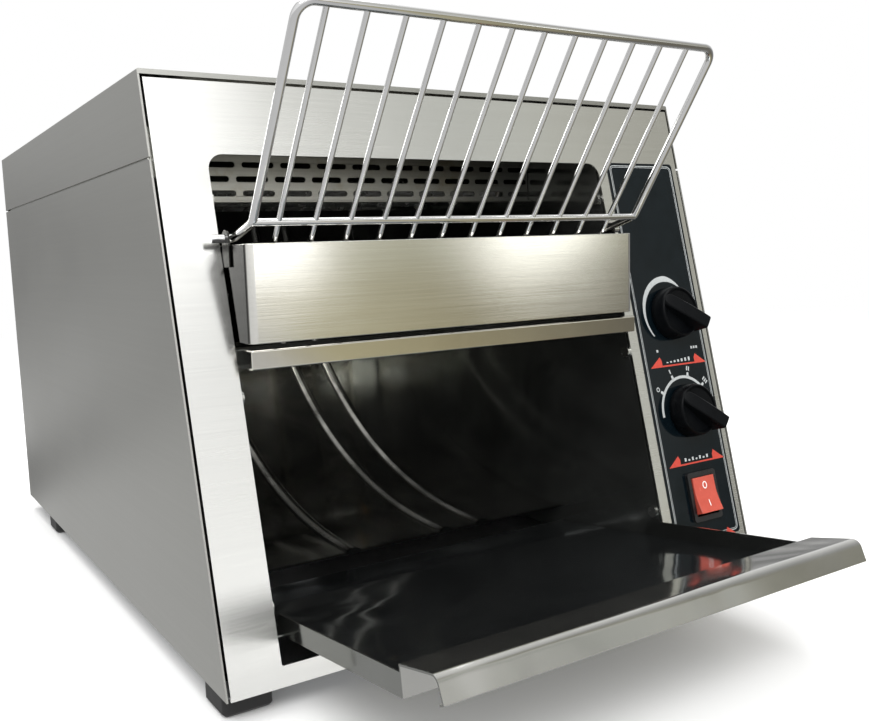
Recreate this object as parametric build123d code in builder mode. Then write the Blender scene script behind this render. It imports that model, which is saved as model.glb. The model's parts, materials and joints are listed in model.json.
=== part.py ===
"""Conveyor toaster: sheet metal casing with a sloping front, a wire feed rack, a belt between
upper and lower heater tubes, a curved chute, a receiving tray, and a drive, controls and fan
on the right.

Millimetres. x runs left to right seen from the front, y from the front to the back, z is up.
The feet stand on z = 0. Most places are given as a depth behind the casing's front bottom
edge and a height above the casing's bottom; to_y, to_z and yz turn these into coordinates.
"""
from build123d import *
import math
import os

os.makedirs("parts", exist_ok=True)

# ---------------------------------------------------------------- driving dimensions
WIDTH = 370.0
HEIGHT = 296.0              # casing, above its feet
DEPTH = 470.0               # casing, at the bottom
LEAN = 71.5                 # how far the sloping front's top edge is set back
FOOT_HEIGHT = 12.0
FRONT_EDGE_Y = -183.715     # y of the casing's front bottom edge
SEAM = 252.0                # height of the joint between side panels and top cover
SEAM_GAP = 0.6              # each panel's edge stays this far from the seam
SHEET = 1.0                 # casing and inner wall sheet
FRONT_SHEET = 1.2
CLEAR = 0.06                # running clearance on radius
PRESS = 0.02                # radial gap of wheels fixed on their shafts
CROSS_GAP = 0.3             # end gap of sheets that span the inner walls

# opening in the front; the inner walls continue its left and right edges
OPEN_LEFT, OPEN_RIGHT = -155.5, 110.0
OPEN_LOW, OPEN_HIGH = 9.5, 254.7
OPEN_MID = (OPEN_LEFT + OPEN_RIGHT) / 2
OPEN_WIDTH = OPEN_RIGHT - OPEN_LEFT
CROSS_LEFT = OPEN_LEFT + CROSS_GAP
CROSS_WIDTH = OPEN_WIDTH - 2 * CROSS_GAP

SHAFT_HEIGHT = 178.0        # both conveyor shafts
FRONT_SHAFT, DRIVE_SHAFT = 74.0, 340.0      # their depths
SHAFT_R = 5.0
TUBE_R = 4.5                # heater tubes

lean_angle = math.atan2(LEAN, HEIGHT)
LEAN_COS, LEAN_SIN = math.cos(lean_angle), math.sin(lean_angle)


# ---------------------------------------------------------------- places and planes
def to_y(depth):
    return FRONT_EDGE_Y + depth


def to_z(height):
    return FOOT_HEIGHT + height


def yz(depth, height):
    return to_y(depth), to_z(height)


def slope(height):
    """Depth of the sloping front at a height."""
    return LEAN * height / HEIGHT


def up_slope(height):
    """Distance up the sloping front to a height."""
    return height / LEAN_COS


def front(off=0.0):
    """The sloping front face moved outwards by off: local x across, local y up the slope."""
    origin = (0, FRONT_EDGE_Y, FOOT_HEIGHT)
    return Plane(origin=origin, x_dir=(1, 0, 0), z_dir=(0, -LEAN_COS, LEAN_SIN)).offset(off)


def side(x):
    """Plane across x that faces right: local x is y and local y is z."""
    return Plane(origin=(x, 0, 0), x_dir=(0, 1, 0), z_dir=(1, 0, 0))


def facing_front(y):
    """Upright plane that faces the front: local x is x and local y is z."""
    return Plane(origin=(0, y, 0), x_dir=(1, 0, 0), z_dir=(0, -1, 0))


def facing_back(x, y, z):
    """Upright plane that faces the back, centred on a point."""
    return Plane(origin=(x, y, z), x_dir=(1, 0, 0), z_dir=(0, 1, 0))


def across(x, depth, height):
    """Location whose own z axis runs along x."""
    return Location((x, *yz(depth, height)), (0, 90, 0))


# ---------------------------------------------------------------- shape helpers
def ribbon(points, thickness):
    """Outline of a bent sheet: its left face follows points, its thickness lies to the right."""
    normals = []
    for (x0, y0), (x1, y1) in zip(points, points[1:]):
        length = math.hypot(x1 - x0, y1 - y0)
        normals.append(((y1 - y0) / length, -(x1 - x0) / length))
    right_face = []
    pairs = zip(normals[:1] + normals, normals + normals[-1:])
    for (x, y), (before, after) in zip(points, pairs):
        mitre = thickness / (1 + before[0] * after[0] + before[1] * after[1])
        right_face.append((x + (before[0] + after[0]) * mitre, y + (before[1] + after[1]) * mitre))
    return points + right_face[::-1]


def bend(before, corner, after, radius):
    """Start, end and centre of a round bend at a corner, all as vectors."""
    to_before = (before - corner).normalized()
    to_after = (after - corner).normalized()
    half = math.acos(max(-1, min(1, to_before.dot(to_after)))) / 2
    run = radius / math.tan(half)
    centre = corner + (to_before + to_after).normalized() * (radius / math.sin(half))
    return corner + to_before * run, corner + to_after * run, centre


def bend_points(before, corner, after, radius, steps=7):
    """Flat points spaced evenly round a bend."""
    start, end, centre = bend(Vector(*before), Vector(*corner), Vector(*after), radius)
    start, end = start - centre, end - centre
    turn = math.degrees(math.atan2(start.cross(end).Z, start.dot(end)))
    points = [centre + start.rotate(Axis.Z, turn * i / steps) for i in range(steps + 1)]
    return [(point.X, point.Y) for point in points]


def rounded_path(points, radii):
    """Lines and tangent arcs along points, with one radius for each inner corner."""
    corners = [Vector(*point) for point in points]
    here = corners[0]
    for before, corner, after, radius in zip(corners, corners[1:], corners[2:], radii):
        start, end, centre = bend(before, corner, after, radius)
        Line(here, start)
        ThreePointArc(start, centre + (corner - centre).normalized() * radius, end)
        here = end
    Line(here, corners[-1])


def sweep_wire(points, radius, bend_radii):
    """Add a round wire along points to the part being built."""
    with BuildLine() as path:
        rounded_path(points, bend_radii)
    with BuildSketch(Plane(origin=path.line @ 0, z_dir=path.line % 0)) as section:
        Circle(radius)
    sweep(section.sketch, path=path.line)


def along_x(x0, x1, depth, height, radius):
    """Add a rod along x to the part being built."""
    with Locations(across((x0 + x1) / 2, depth, height)):
        Cylinder(radius, x1 - x0)


def save(name, part):
    part.label = name
    export_step(part, "parts/" + name + ".step")


# ---------------------------------------------------------------- casing
FOOT_X, FOOT_DEPTHS = WIDTH / 2 - 14.6, (22, 384)
FOOT_SPOTS = [(x, to_y(depth)) for depth in FOOT_DEPTHS for x in (-FOOT_X, FOOT_X)]

SCREW_HOLE_R = 2.1
TOP_SCREWS = [(x, to_z(276)) for x in (-150, 0, 150)]       # x, z in the top cover's skirt


def side_screws(hand):
    """x, z of the rear screws of one side panel."""
    return [(hand * (WIDTH / 2 - 8), to_z(height)) for height in (24, 130, 232)]


REAR_SCREWS = side_screws(-1) + side_screws(1) + TOP_SCREWS


def rear_holes(spots):
    with Locations(*[Location((x, to_y(DEPTH), z), (90, 0, 0)) for x, z in spots]):
        Hole(radius=SCREW_HOLE_R, depth=4)


PAN_GAP, PAN_SHEET = 1.3, 1.2
SLOT_ROWS, SLOT_PITCH, SLOT_WIDTH = 9, 9, 3.6
# x, y and length of the two groups of floor slots
FLOOR_SLOTS = [(WIDTH / 2 - 40, to_y(150), 42), (-WIDTH / 2 + 16, to_y(200), 16)]

with BuildPart() as base_pan:
    with BuildSketch(side(-WIDTH / 2 + PAN_GAP)):
        # floor with turned-up rear and front edges
        rear, lip = DEPTH - 3.0, 4.0
        profile = [yz(rear, 15), yz(rear, 0), yz(lip, 0), yz(lip + slope(8), 8)]
        Polygon(*ribbon(profile, PAN_SHEET))
    extrude(amount=WIDTH - 2 * PAN_GAP)
    with Locations(*[(x, y, to_z(0)) for x, y in FOOT_SPOTS]):
        Hole(radius=2.3, depth=10)
    with BuildSketch(Plane.XY.offset(to_z(-1))):
        for x, y, length in FLOOR_SLOTS:
            with Locations((x, y)):
                with GridLocations(0, SLOT_PITCH, 1, SLOT_ROWS):
                    SlotOverall(length, SLOT_WIDTH)
    extrude(amount=4, mode=Mode.SUBTRACT)
save("base_pan", base_pan.part)


def side_panel(hand):
    """Outer plate, joggled upper lap, bottom and rear flanges. hand: -1 left, 1 right."""
    flange = 14
    flange_x = hand * (WIDTH / 2 - flange / 2)
    top = SEAM - SEAM_GAP
    lap_low, lap_high, lap_rear = SEAM - 9, SEAM + 16, DEPTH - 16
    # outer and inner distance from the casing's side, then (depth, height) corners
    layers = [
        (0, SHEET, [(0.15, 0), (DEPTH, 0), (DEPTH, top), (slope(top) + 0.15, top)]),
        (1.0, 2.2, [(slope(lap_low) + 6, lap_low), (lap_rear, lap_low),
                    (lap_rear, top), (slope(SEAM) + 6, top)]),
        (1.1, 2.2, [(slope(lap_low) + 6, lap_low), (lap_rear, lap_low),
                    (lap_rear, lap_high), (slope(lap_high) + 6, lap_high)]),
    ]
    with BuildPart() as panel:
        for outer, inner, corners in layers:
            left_x = min(hand * (WIDTH / 2 - outer), hand * (WIDTH / 2 - inner))
            with BuildSketch(side(left_x)):
                Polygon(*[yz(*corner) for corner in corners])
            extrude(amount=inner - outer)
        # bottom flange, above the base pan
        with BuildSketch(Plane.XY.offset(to_z(1.35))):
            with Locations((flange_x, (to_y(6) + to_y(DEPTH - 5)) / 2)):
                Rectangle(flange, DEPTH - 11)
        extrude(amount=SHEET)
        # rear flange, outside the back panel
        with BuildSketch(Plane.XY.offset(to_z(0))):
            with Locations((flange_x, to_y(DEPTH) - SHEET / 2)):
                Rectangle(flange, SHEET)
        extrude(amount=top)
        # clearance round the foot screws
        with Locations(*[(hand * FOOT_X, to_y(depth), to_z(2.4)) for depth in FOOT_DEPTHS]):
            Cylinder(5.0, 12, mode=Mode.SUBTRACT)
        rear_holes(side_screws(hand))
    return panel.part


save("left_side_panel", side_panel(-1))
save("right_side_panel", side_panel(1))

HEM_DEPTH, HEM_THICKNESS = 9, 2.6
SKIRT_LOW = SEAM + SEAM_GAP

with BuildPart() as top_cover:
    # top sheet with its hemmed front edge
    with BuildSketch(side(-WIDTH / 2)):
        Polygon(yz(LEAN, HEIGHT), yz(DEPTH, HEIGHT), yz(DEPTH, HEIGHT - SHEET),
                yz(LEAN + HEM_DEPTH, HEIGHT - SHEET),
                yz(LEAN + HEM_DEPTH, HEIGHT - HEM_THICKNESS),
                yz(slope(HEIGHT - HEM_THICKNESS), HEIGHT - HEM_THICKNESS))
    extrude(amount=WIDTH)
    # side skirts
    for left_x in (-WIDTH / 2, WIDTH / 2 - SHEET):
        with BuildSketch(side(left_x)):
            Polygon(yz(slope(SKIRT_LOW) + 0.15, SKIRT_LOW), yz(DEPTH, SKIRT_LOW),
                    yz(DEPTH, HEIGHT), yz(LEAN + 0.1, HEIGHT))
        extrude(amount=SHEET)
    # rear skirt
    with BuildSketch(Plane.XY.offset(to_z(SKIRT_LOW))):
        with Locations((0, to_y(DEPTH) - SHEET / 2)):
            Rectangle(WIDTH, SHEET)
    extrude(amount=HEIGHT - SKIRT_LOW)
    rear_holes(TOP_SCREWS)
    fillet(top_cover.edges().filter_by(Axis.Y).group_by(Axis.Z)[-1], 0.8)
save("top_cover", top_cover.part)

FAN_X, FAN_Z = 139.5, to_z(150.0)
FAN_SCREW_PITCH = 50
CORD_X, CORD_HEIGHT = 140, 40
BACK_FACE = DEPTH - 1.2                 # depth of the back panel's rear face

with BuildPart() as back_panel:
    with BuildSketch(facing_front(to_y(BACK_FACE))):
        with Locations((0, to_z(HEIGHT / 2 + 0.6))):
            Rectangle(WIDTH - 2.8, HEIGHT - 4.8)
        # air slots behind the chamber: height of each group and its rows
        for height, rows in ((232, 4), (40, 3)):
            with Locations((OPEN_MID, to_z(height))):
                with GridLocations(46, 10, 5, rows):
                    SlotOverall(36, 4, mode=Mode.SUBTRACT)
        # fan outlet and its screws
        with Locations((FAN_X, FAN_Z)):
            Circle(27, mode=Mode.SUBTRACT)
            with GridLocations(FAN_SCREW_PITCH, FAN_SCREW_PITCH, 2, 2):
                Circle(SCREW_HOLE_R, mode=Mode.SUBTRACT)
        # cord entry and casing screws
        with Locations((CORD_X, to_z(CORD_HEIGHT))):
            Circle(8.2, mode=Mode.SUBTRACT)
        with Locations(*REAR_SCREWS):
            Circle(SCREW_HOLE_R, mode=Mode.SUBTRACT)
    extrude(amount=SHEET)
save("back_panel", back_panel.part)

# ---------------------------------------------------------------- sloping front
# control places on the front plane: x, distance up the slope
KNOB_X, ROCKER_X = 149.8, 149.0
SHADE_SPOT = (KNOB_X, up_slope(156.0))
HEAT_SPOT = (KNOB_X, up_slope(93.5))
ROCKER_SPOT = (ROCKER_X, up_slope(39.8))
ROCKER_CUTOUT = (22.4, 27.4)

PANEL_WIDTH = WIDTH - 4.6               # between the side panels
PANEL_TOP = up_slope(HEIGHT - 4.2)
RETURN_START, RETURN_DEPTH = 16, 11     # folded edges: start up the slope, depth behind the sheet

with BuildPart() as front_panel:
    with BuildSketch(front(-FRONT_SHEET)):
        with Locations((0, PANEL_TOP / 2)):
            Rectangle(PANEL_WIDTH, PANEL_TOP)
        # opening with round upper corners and nearly square lower ones
        with Locations((OPEN_MID, up_slope((OPEN_LOW + OPEN_HIGH) / 2))):
            RectangleRounded(OPEN_WIDTH, up_slope(OPEN_HIGH - OPEN_LOW), 8.5, mode=Mode.SUBTRACT)
        with Locations((OPEN_MID, up_slope(OPEN_LOW) + 40)):
            RectangleRounded(OPEN_WIDTH, 80, 1.2, mode=Mode.SUBTRACT)
        with Locations(SHADE_SPOT, HEAT_SPOT):
            Circle(5.2, mode=Mode.SUBTRACT)
        with Locations(ROCKER_SPOT):
            Rectangle(*ROCKER_CUTOUT, mode=Mode.SUBTRACT)
    extrude(amount=FRONT_SHEET)
    # side and top returns
    with BuildSketch(front(-FRONT_SHEET)):
        return_x = (PANEL_WIDTH - FRONT_SHEET) / 2
        return_mid = (RETURN_START + PANEL_TOP) / 2
        with Locations((return_x, return_mid), (-return_x, return_mid)):
            Rectangle(FRONT_SHEET, PANEL_TOP - RETURN_START)
        with Locations((0, PANEL_TOP - FRONT_SHEET / 2)):
            Rectangle(PANEL_WIDTH, FRONT_SHEET)
    extrude(amount=-RETURN_DEPTH)
    front_edges = front_panel.faces().sort_by(Axis.Y)[0].edges()
    fillet(front_edges.filter_by(lambda edge: edge.length > 250).sort_by(Axis.X)[0], 0.5)
save("front_panel", front_panel.part)

OVERLAY_LEFT, OVERLAY_RIGHT = 118.0, 178.2
OVERLAY_LOW, OVERLAY_HIGH = 12.5, 255.3
OVERLAY_THICKNESS = 0.5

with BuildPart() as control_overlay:
    with BuildSketch(front()):
        with Locations(((OVERLAY_LEFT + OVERLAY_RIGHT) / 2,
                        up_slope((OVERLAY_LOW + OVERLAY_HIGH) / 2))):
            RectangleRounded(OVERLAY_RIGHT - OVERLAY_LEFT, up_slope(OVERLAY_HIGH - OVERLAY_LOW), 2.5)
        with Locations(SHADE_SPOT, HEAT_SPOT):
            Circle(5.6, mode=Mode.SUBTRACT)
        with Locations(ROCKER_SPOT):
            Rectangle(*ROCKER_CUTOUT, mode=Mode.SUBTRACT)
    extrude(amount=OVERLAY_THICKNESS)
save("control_overlay", control_overlay.part)

# ---------------------------------------------------------------- inner chamber
# (depth, height) of what passes through both inner walls
UPPER_TUBES = [(depth, 246.0) for depth in (168.0, 218.0, 268.0, 318.0)]
LOWER_TUBES = [(depth, SHAFT_HEIGHT) for depth in (112.0, 162.0, 212.0, 262.0, 306.0)]
SHAFTS = [(FRONT_SHAFT, SHAFT_HEIGHT), (DRIVE_SHAFT, SHAFT_HEIGHT)]
WALL_SCREWS = [(37.0, 134.5), (14.6, 34.8), (62.0, 232.0), (420.0, 60.0), (420.0, 240.0)]

WALL_LOW, WALL_HIGH, WALL_REAR = 3, 288, 440
WALL_GAP = 2.4                          # between the sloping front face and the walls
# hand and outer face of each inner wall
WALLS = [(-1, OPEN_LEFT - SHEET), (1, OPEN_RIGHT + SHEET)]


def inner_wall(left_x):
    with BuildPart() as wall:
        with BuildSketch(side(left_x)):
            # the front corners are cut off
            Polygon(yz(slope(WALL_LOW) + WALL_GAP + 8, WALL_LOW), yz(WALL_REAR, WALL_LOW),
                    yz(WALL_REAR, WALL_HIGH), yz(slope(WALL_HIGH) + WALL_GAP + 12, WALL_HIGH),
                    yz(slope(276) + WALL_GAP, 276), yz(slope(30) + WALL_GAP, 30),
                    yz(slope(16) + WALL_GAP, 16))
        extrude(amount=SHEET)
        holes = ((8.0, SHAFTS), (7.0, UPPER_TUBES), (7.0, LOWER_TUBES), (SCREW_HOLE_R, WALL_SCREWS))
        for radius, spots in holes:
            with Locations(*[across(left_x + SHEET / 2, *spot) for spot in spots]):
                Cylinder(radius, 4, mode=Mode.SUBTRACT)
    return wall.part


save("inner_left_wall", inner_wall(OPEN_LEFT - SHEET))
save("inner_right_wall", inner_wall(OPEN_RIGHT))

# The chute is an arc about an axis along x, from just in front of its lowest point
# up towards the back. Angles are measured from straight down, in degrees.
CHUTE_CENTRE = (0, *yz(106.0, 308.5))
CHUTE_R, CHUTE_SHEET = 288.0, 1.0
CHUTE_START, CHUTE_END = -1.5, 80.0
CHUTE_WIDTH = OPEN_WIDTH - 0.8
RIB_X = [-130.0, -60.0, 10.0, 40.0]
RIB_SEMI_AXES = (4.6, 2.6)
RIB_OVERLAP = 0.2                       # how far the ribs reach into the sheet

start_angle = math.radians(CHUTE_START)
# local x is x, local y points outwards from the arc's centre
chute_section = Plane(origin=CHUTE_CENTRE, x_dir=(1, 0, 0),
                      z_dir=(0, math.cos(start_angle), math.sin(start_angle)))
chute_axis = Axis(CHUTE_CENTRE, (1, 0, 0))

with BuildPart() as chute:
    with BuildSketch(chute_section):
        with Locations((OPEN_MID, CHUTE_R + CHUTE_SHEET / 2)):
            Rectangle(CHUTE_WIDTH, CHUTE_SHEET)
    revolve(axis=chute_axis, revolution_arc=CHUTE_END - CHUTE_START)
    # rolled ribs along the slide, on its inner face only
    with BuildSketch(chute_section):
        for x in RIB_X:
            with Locations((x, CHUTE_R)):
                Ellipse(*RIB_SEMI_AXES)
        with Locations((0, CHUTE_R + RIB_OVERLAP + 5)):
            Rectangle(800, 10, mode=Mode.SUBTRACT)
    revolve(axis=chute_axis, revolution_arc=CHUTE_END - CHUTE_START)
save("chute", chute.part)

# ---------------------------------------------------------------- receiving tray
TRAY_PITCH = math.radians(6.9)          # slopes up towards the front
TRAY_LEFT, TRAY_RIGHT = -149.4, 108.4
TRAY_FOOT = yz(-95.4, 32.4)             # lower edge of its front wall
TRAY_LENGTH, TRAY_SHEET = 196.0, 0.9
FRONT_WALL, SIDE_WALL = 12.6, 10.2      # wall heights


def tray_side(x):
    """Plane across the tray: local x runs back along its floor, local y stands up from it."""
    x_dir = (0, math.cos(TRAY_PITCH), -math.sin(TRAY_PITCH))
    return Plane(origin=(x, *TRAY_FOOT), x_dir=x_dir, z_dir=(1, 0, 0))


with BuildPart() as receiving_tray:
    with BuildSketch(tray_side(TRAY_LEFT)):
        # floor, front wall, raised flap and turned-down lip in one strip
        wall_top, flap_edge, lip_end = (0, FRONT_WALL), (-24.4, FRONT_WALL + 2.4), (-27.0, 5.7)
        strip = [(TRAY_LENGTH, 0), (0, 0), wall_top]
        strip += bend_points(wall_top, flap_edge, lip_end, 3.6)
        strip += [lip_end, (-25.0, 5.1)]
        Polygon(*ribbon(strip, TRAY_SHEET))
    extrude(amount=TRAY_RIGHT - TRAY_LEFT)
    for left_x in (TRAY_LEFT, TRAY_RIGHT - TRAY_SHEET):
        with BuildSketch(tray_side(left_x)):
            Polygon((0.2, 0), (116, 0), (112, SIDE_WALL), (0.2, SIDE_WALL))
        extrude(amount=TRAY_SHEET)
    long_edges = receiving_tray.edges().filter_by(Axis.X).filter_by(lambda edge: edge.length > 200)
    fillet(long_edges.sort_by(Axis.Y)[0], 0.4)
save("receiving_tray", receiving_tray.part)

RAIL_WIDTH, RAIL_SHEET = 9, 1
RAIL_START, RAIL_END, RAIL_TOP = 112, 186, -0.25

with BuildPart() as tray_rails:
    # angle rails on the inner walls that carry the tray: left x of the shelf and of the web
    for shelf_x, web_x in ((OPEN_LEFT, OPEN_LEFT),
                           (OPEN_RIGHT - RAIL_WIDTH, OPEN_RIGHT - RAIL_SHEET)):
        with BuildSketch(tray_side(shelf_x)):
            Polygon((RAIL_START, RAIL_TOP), (RAIL_END, RAIL_TOP),
                    (RAIL_END, RAIL_TOP - RAIL_SHEET), (RAIL_START, RAIL_TOP - RAIL_SHEET))
        extrude(amount=RAIL_WIDTH)
        with BuildSketch(tray_side(web_x)):
            Polygon((RAIL_START, RAIL_TOP), (RAIL_END, RAIL_TOP), (RAIL_END, -3.4), (RAIL_START, -6.0))
        extrude(amount=RAIL_SHEET)
save("tray_rails", tray_rails.part)

# ---------------------------------------------------------------- guard, trim bar
GUARD_LEFT, GUARD_RIGHT = -154.0, 99.5
GUARD_FACE, GUARD_DEPTH = 21.6, 40.0
GUARD_LOW, GUARD_HIGH = 161.5, 209.0
GUARD_SHEET = 1.2
GUARD_MID = (GUARD_LEFT + GUARD_RIGHT) / 2
GUARD_WIDTH = GUARD_RIGHT - GUARD_LEFT

with BuildPart() as front_guard:
    with Locations((GUARD_MID, *yz(GUARD_FACE + GUARD_DEPTH / 2, (GUARD_LOW + GUARD_HIGH) / 2))):
        Box(GUARD_WIDTH, GUARD_DEPTH, GUARD_HIGH - GUARD_LOW)
    fillet(front_guard.edges().filter_by(Axis.Z).group_by(Axis.Y)[0], 4.0)
    # hollow it, open at the top, the bottom and the back
    open_faces = front_guard.faces().filter_by(Axis.Z)
    open_faces += front_guard.faces().filter_by(Axis.Y).sort_by(Axis.Y)[-1:]
    offset(amount=-GUARD_SHEET, openings=open_faces)
    # turned-in bottom and top edges of the face
    for height in (GUARD_LOW, GUARD_HIGH - GUARD_SHEET):
        with BuildSketch(Plane.XY.offset(to_z(height))):
            with Locations((GUARD_MID, to_y(GUARD_FACE) + 1.7)):
                Rectangle(GUARD_WIDTH - 9, 1.4)
        extrude(amount=GUARD_SHEET)
    with Locations(*[across(x, 56, 185) for x in (GUARD_LEFT, GUARD_RIGHT)]):
        Cylinder(SCREW_HOLE_R, 8, mode=Mode.SUBTRACT)
save("front_guard", front_guard.part)

PIVOT = (44.5, 212.2)                   # depth, height of the feed rack's pivot line
RACK_R = 2.1                            # rack frame wire
EAR_R = 4.2
# plates outside the guard's flanges: left x, thickness, drop of the plate's centre below
# the pivot, plate height, whether it is rounded about the pivot
BRACKET_PLATES = [
    (GUARD_LEFT - 1.2, 1.15, 7, 14, True),
    (GUARD_RIGHT + 3.6, 1.2, 4, 8, True),
    (GUARD_RIGHT + 0.05, 1.15, 16, 16, False),
    (GUARD_RIGHT + 0.05, 4.75, 8.6, 1.2, False),    # step that joins the two right plates
]

with BuildPart() as rack_brackets:
    for left_x, thickness, drop, height, rounded in BRACKET_PLATES:
        with BuildSketch(side(left_x)):
            if rounded:
                with Locations(yz(*PIVOT)):
                    Circle(EAR_R)
            with Locations(yz(PIVOT[0], PIVOT[1] - drop)):
                Rectangle(2 * EAR_R, height)
        extrude(amount=thickness)
    with Locations(across(GUARD_MID, *PIVOT)):
        Cylinder(RACK_R + CLEAR, 400, mode=Mode.SUBTRACT)
save("rack_brackets", rack_brackets.part)

BAR_LEFT, BAR_RIGHT = -152.6, 104.5
BAR_FACE, BAR_LOW, BAR_HIGH = 24.9, 148.6, 158.3


def channel_outline(face, rear, low, high):
    """Outline of a 1 mm channel that is open to the back."""
    return ribbon([yz(rear, low), yz(face, low), yz(face, high), yz(rear, high)], 1.0)


with BuildPart() as trim_bar:
    with BuildSketch(side(BAR_LEFT)):
        Polygon(*channel_outline(BAR_FACE, BAR_FACE + 9, BAR_LOW, BAR_HIGH))
    extrude(amount=BAR_RIGHT - BAR_LEFT)
    fillet(trim_bar.edges().filter_by(Axis.X).group_by(Axis.Y)[0], 0.9)
save("trim_bar", trim_bar.part)

with BuildPart() as trim_channel:
    # channel between the inner walls, with blocks that reach forward to the trim bar
    with BuildSketch(side(CROSS_LEFT)):
        Polygon(*channel_outline(BAR_FACE + 13, BAR_FACE + 26, BAR_LOW + 0.4, BAR_HIGH - 0.4))
    extrude(amount=CROSS_WIDTH)
    for x in (-120.0, -25.0, 70.0):
        with Locations((x, *yz(BAR_FACE + 7.2, (BAR_LOW + BAR_HIGH) / 2))):
            Box(14, 12.3, 4)
save("trim_channel", trim_channel.part)

# ---------------------------------------------------------------- baffle, reflectors
BAFFLE_DEPTH, BAFFLE_LOW, BAFFLE_HIGH = 130.0, 236.2, 286
# height and sideways shift of each slot row
BAFFLE_ROWS = [(257.3, 0.0), (249.0, -4.0), (240.7, 0.0)]
BAFFLE_SLOT_PITCH = 25

with BuildPart() as slotted_baffle:
    with BuildSketch(facing_front(to_y(BAFFLE_DEPTH))):
        with Locations((OPEN_MID, to_z((BAFFLE_LOW + BAFFLE_HIGH) / 2))):
            Rectangle(CROSS_WIDTH, BAFFLE_HIGH - BAFFLE_LOW)
        for height, shift in BAFFLE_ROWS:
            row_x = [OPEN_MID + shift + BAFFLE_SLOT_PITCH * i for i in range(-5, 6)]
            with Locations(*[(x, to_z(height)) for x in row_x]):
                SlotOverall(20.5, 3.2, mode=Mode.SUBTRACT)
    extrude(amount=SHEET)
    # lower lip folded forwards and top flange folded back
    with Locations((OPEN_MID, *yz(BAFFLE_DEPTH - 2.5, BAFFLE_LOW - 0.5))):
        Box(CROSS_WIDTH, 5.0, SHEET)
    with Locations((OPEN_MID, *yz(BAFFLE_DEPTH + 6, BAFFLE_HIGH))):
        Box(CROSS_WIDTH, 14, SHEET)
save("slotted_baffle", slotted_baffle.part)


def reflector(corners):
    """Bent sheet between the inner walls through (depth, height) corners."""
    with BuildPart() as sheet:
        with BuildSketch(side(CROSS_LEFT)):
            Polygon(*ribbon([yz(*corner) for corner in corners], SHEET))
        extrude(amount=CROSS_WIDTH)
    return sheet.part


save("upper_reflector", reflector([(146, 250), (160, 264), (326, 264), (340, 250)]))
save("lower_reflector", reflector([(316, 169.5), (311, 166.0), (103, 166.0), (98, 169.5)]))


# ---------------------------------------------------------------- heater tubes
def heater_tubes(spots):
    with BuildPart() as tubes:
        for spot in spots:
            along_x(OPEN_LEFT - 12, OPEN_RIGHT + 12, *spot, TUBE_R)
    return tubes.part


def wall_bushes(spots, bore, collar, spigot):
    """Stepped bushes in both inner walls: collar outside the wall, spigot through it.

    collar and spigot are (radius, length).
    """
    with BuildPart() as bushes:
        for hand, wall_x in WALLS:
            for spot in spots:
                for (radius, length), direction in ((collar, hand), (spigot, -hand)):
                    with BuildSketch(side(wall_x + hand * 0.1)):
                        with Locations(yz(*spot)):
                            Circle(radius)
                            Circle(bore, mode=Mode.SUBTRACT)
                    extrude(amount=direction * length)
    return bushes.part


save("upper_heater_tubes", heater_tubes(UPPER_TUBES))
save("lower_heater_tubes", heater_tubes(LOWER_TUBES))
save("heater_ceramics", wall_bushes(UPPER_TUBES + LOWER_TUBES, bore=TUBE_R + 0.1,
                                    collar=(10.0, 8.0), spigot=(6.8, 2.6)))

# ---------------------------------------------------------------- conveyor
BELT_INNER_R, BELT_OUTER_R = 14.8, 17.0     # belt faces about each shaft
BELT_LEFT, BELT_RIGHT = -147.0, 94.0
BELT_COLUMN_PITCH, BELT_SIDE_BAR = 40.0, 3.2
BELT_ROD_PITCH, BELT_ROD = 12.7, 2.2
SHAFT_DISTANCE = DRIVE_SHAFT - FRONT_SHAFT
belt_mid_y = to_y((FRONT_SHAFT + DRIVE_SHAFT) / 2)

with BuildPart() as conveyor_belt:
    with BuildSketch(side(BELT_LEFT)):
        with Locations((belt_mid_y, to_z(SHAFT_HEIGHT))):
            SlotCenterToCenter(SHAFT_DISTANCE, 2 * BELT_OUTER_R)
            SlotCenterToCenter(SHAFT_DISTANCE, 2 * BELT_INNER_R, mode=Mode.SUBTRACT)
    extrude(amount=BELT_RIGHT - BELT_LEFT)
    # windows cut down through both runs leave rods and bars
    with BuildSketch(Plane.XY.offset(to_z(SHAFT_HEIGHT - 30))):
        with Locations(((BELT_LEFT + BELT_RIGHT) / 2, belt_mid_y)):
            with GridLocations(BELT_COLUMN_PITCH, BELT_ROD_PITCH, 6, 21):
                Rectangle(BELT_COLUMN_PITCH - BELT_SIDE_BAR, BELT_ROD_PITCH - BELT_ROD)
    extrude(amount=60, mode=Mode.SUBTRACT)
save("conveyor_belt", conveyor_belt.part)


def conveyor_shaft(depth, right_x):
    with BuildPart() as shaft:
        along_x(OPEN_LEFT - 9, right_x, depth, SHAFT_HEIGHT, SHAFT_R)
        chamfer(shaft.edges(), 0.6)
    return shaft.part


def belt_discs(depth):
    """Belt wheels: toothed discs on hubs, bored to sit on the shaft."""
    with BuildPart() as discs:
        for x in (-128.0, -68.0, 15.0, 75.0):
            with BuildSketch(side(x - 2.5)):
                with Locations(yz(depth, SHAFT_HEIGHT)):
                    Circle(13.0)
                    with PolarLocations(12.9, 12):
                        Circle(1.5)
                    Circle(SHAFT_R + PRESS, mode=Mode.SUBTRACT)
            extrude(amount=5.0)
            with BuildSketch(side(x - 7.0)):
                with Locations(yz(depth, SHAFT_HEIGHT)):
                    Circle(8.5)
                    Circle(SHAFT_R + PRESS, mode=Mode.SUBTRACT)
            extrude(amount=14.0)
    return discs.part


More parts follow.
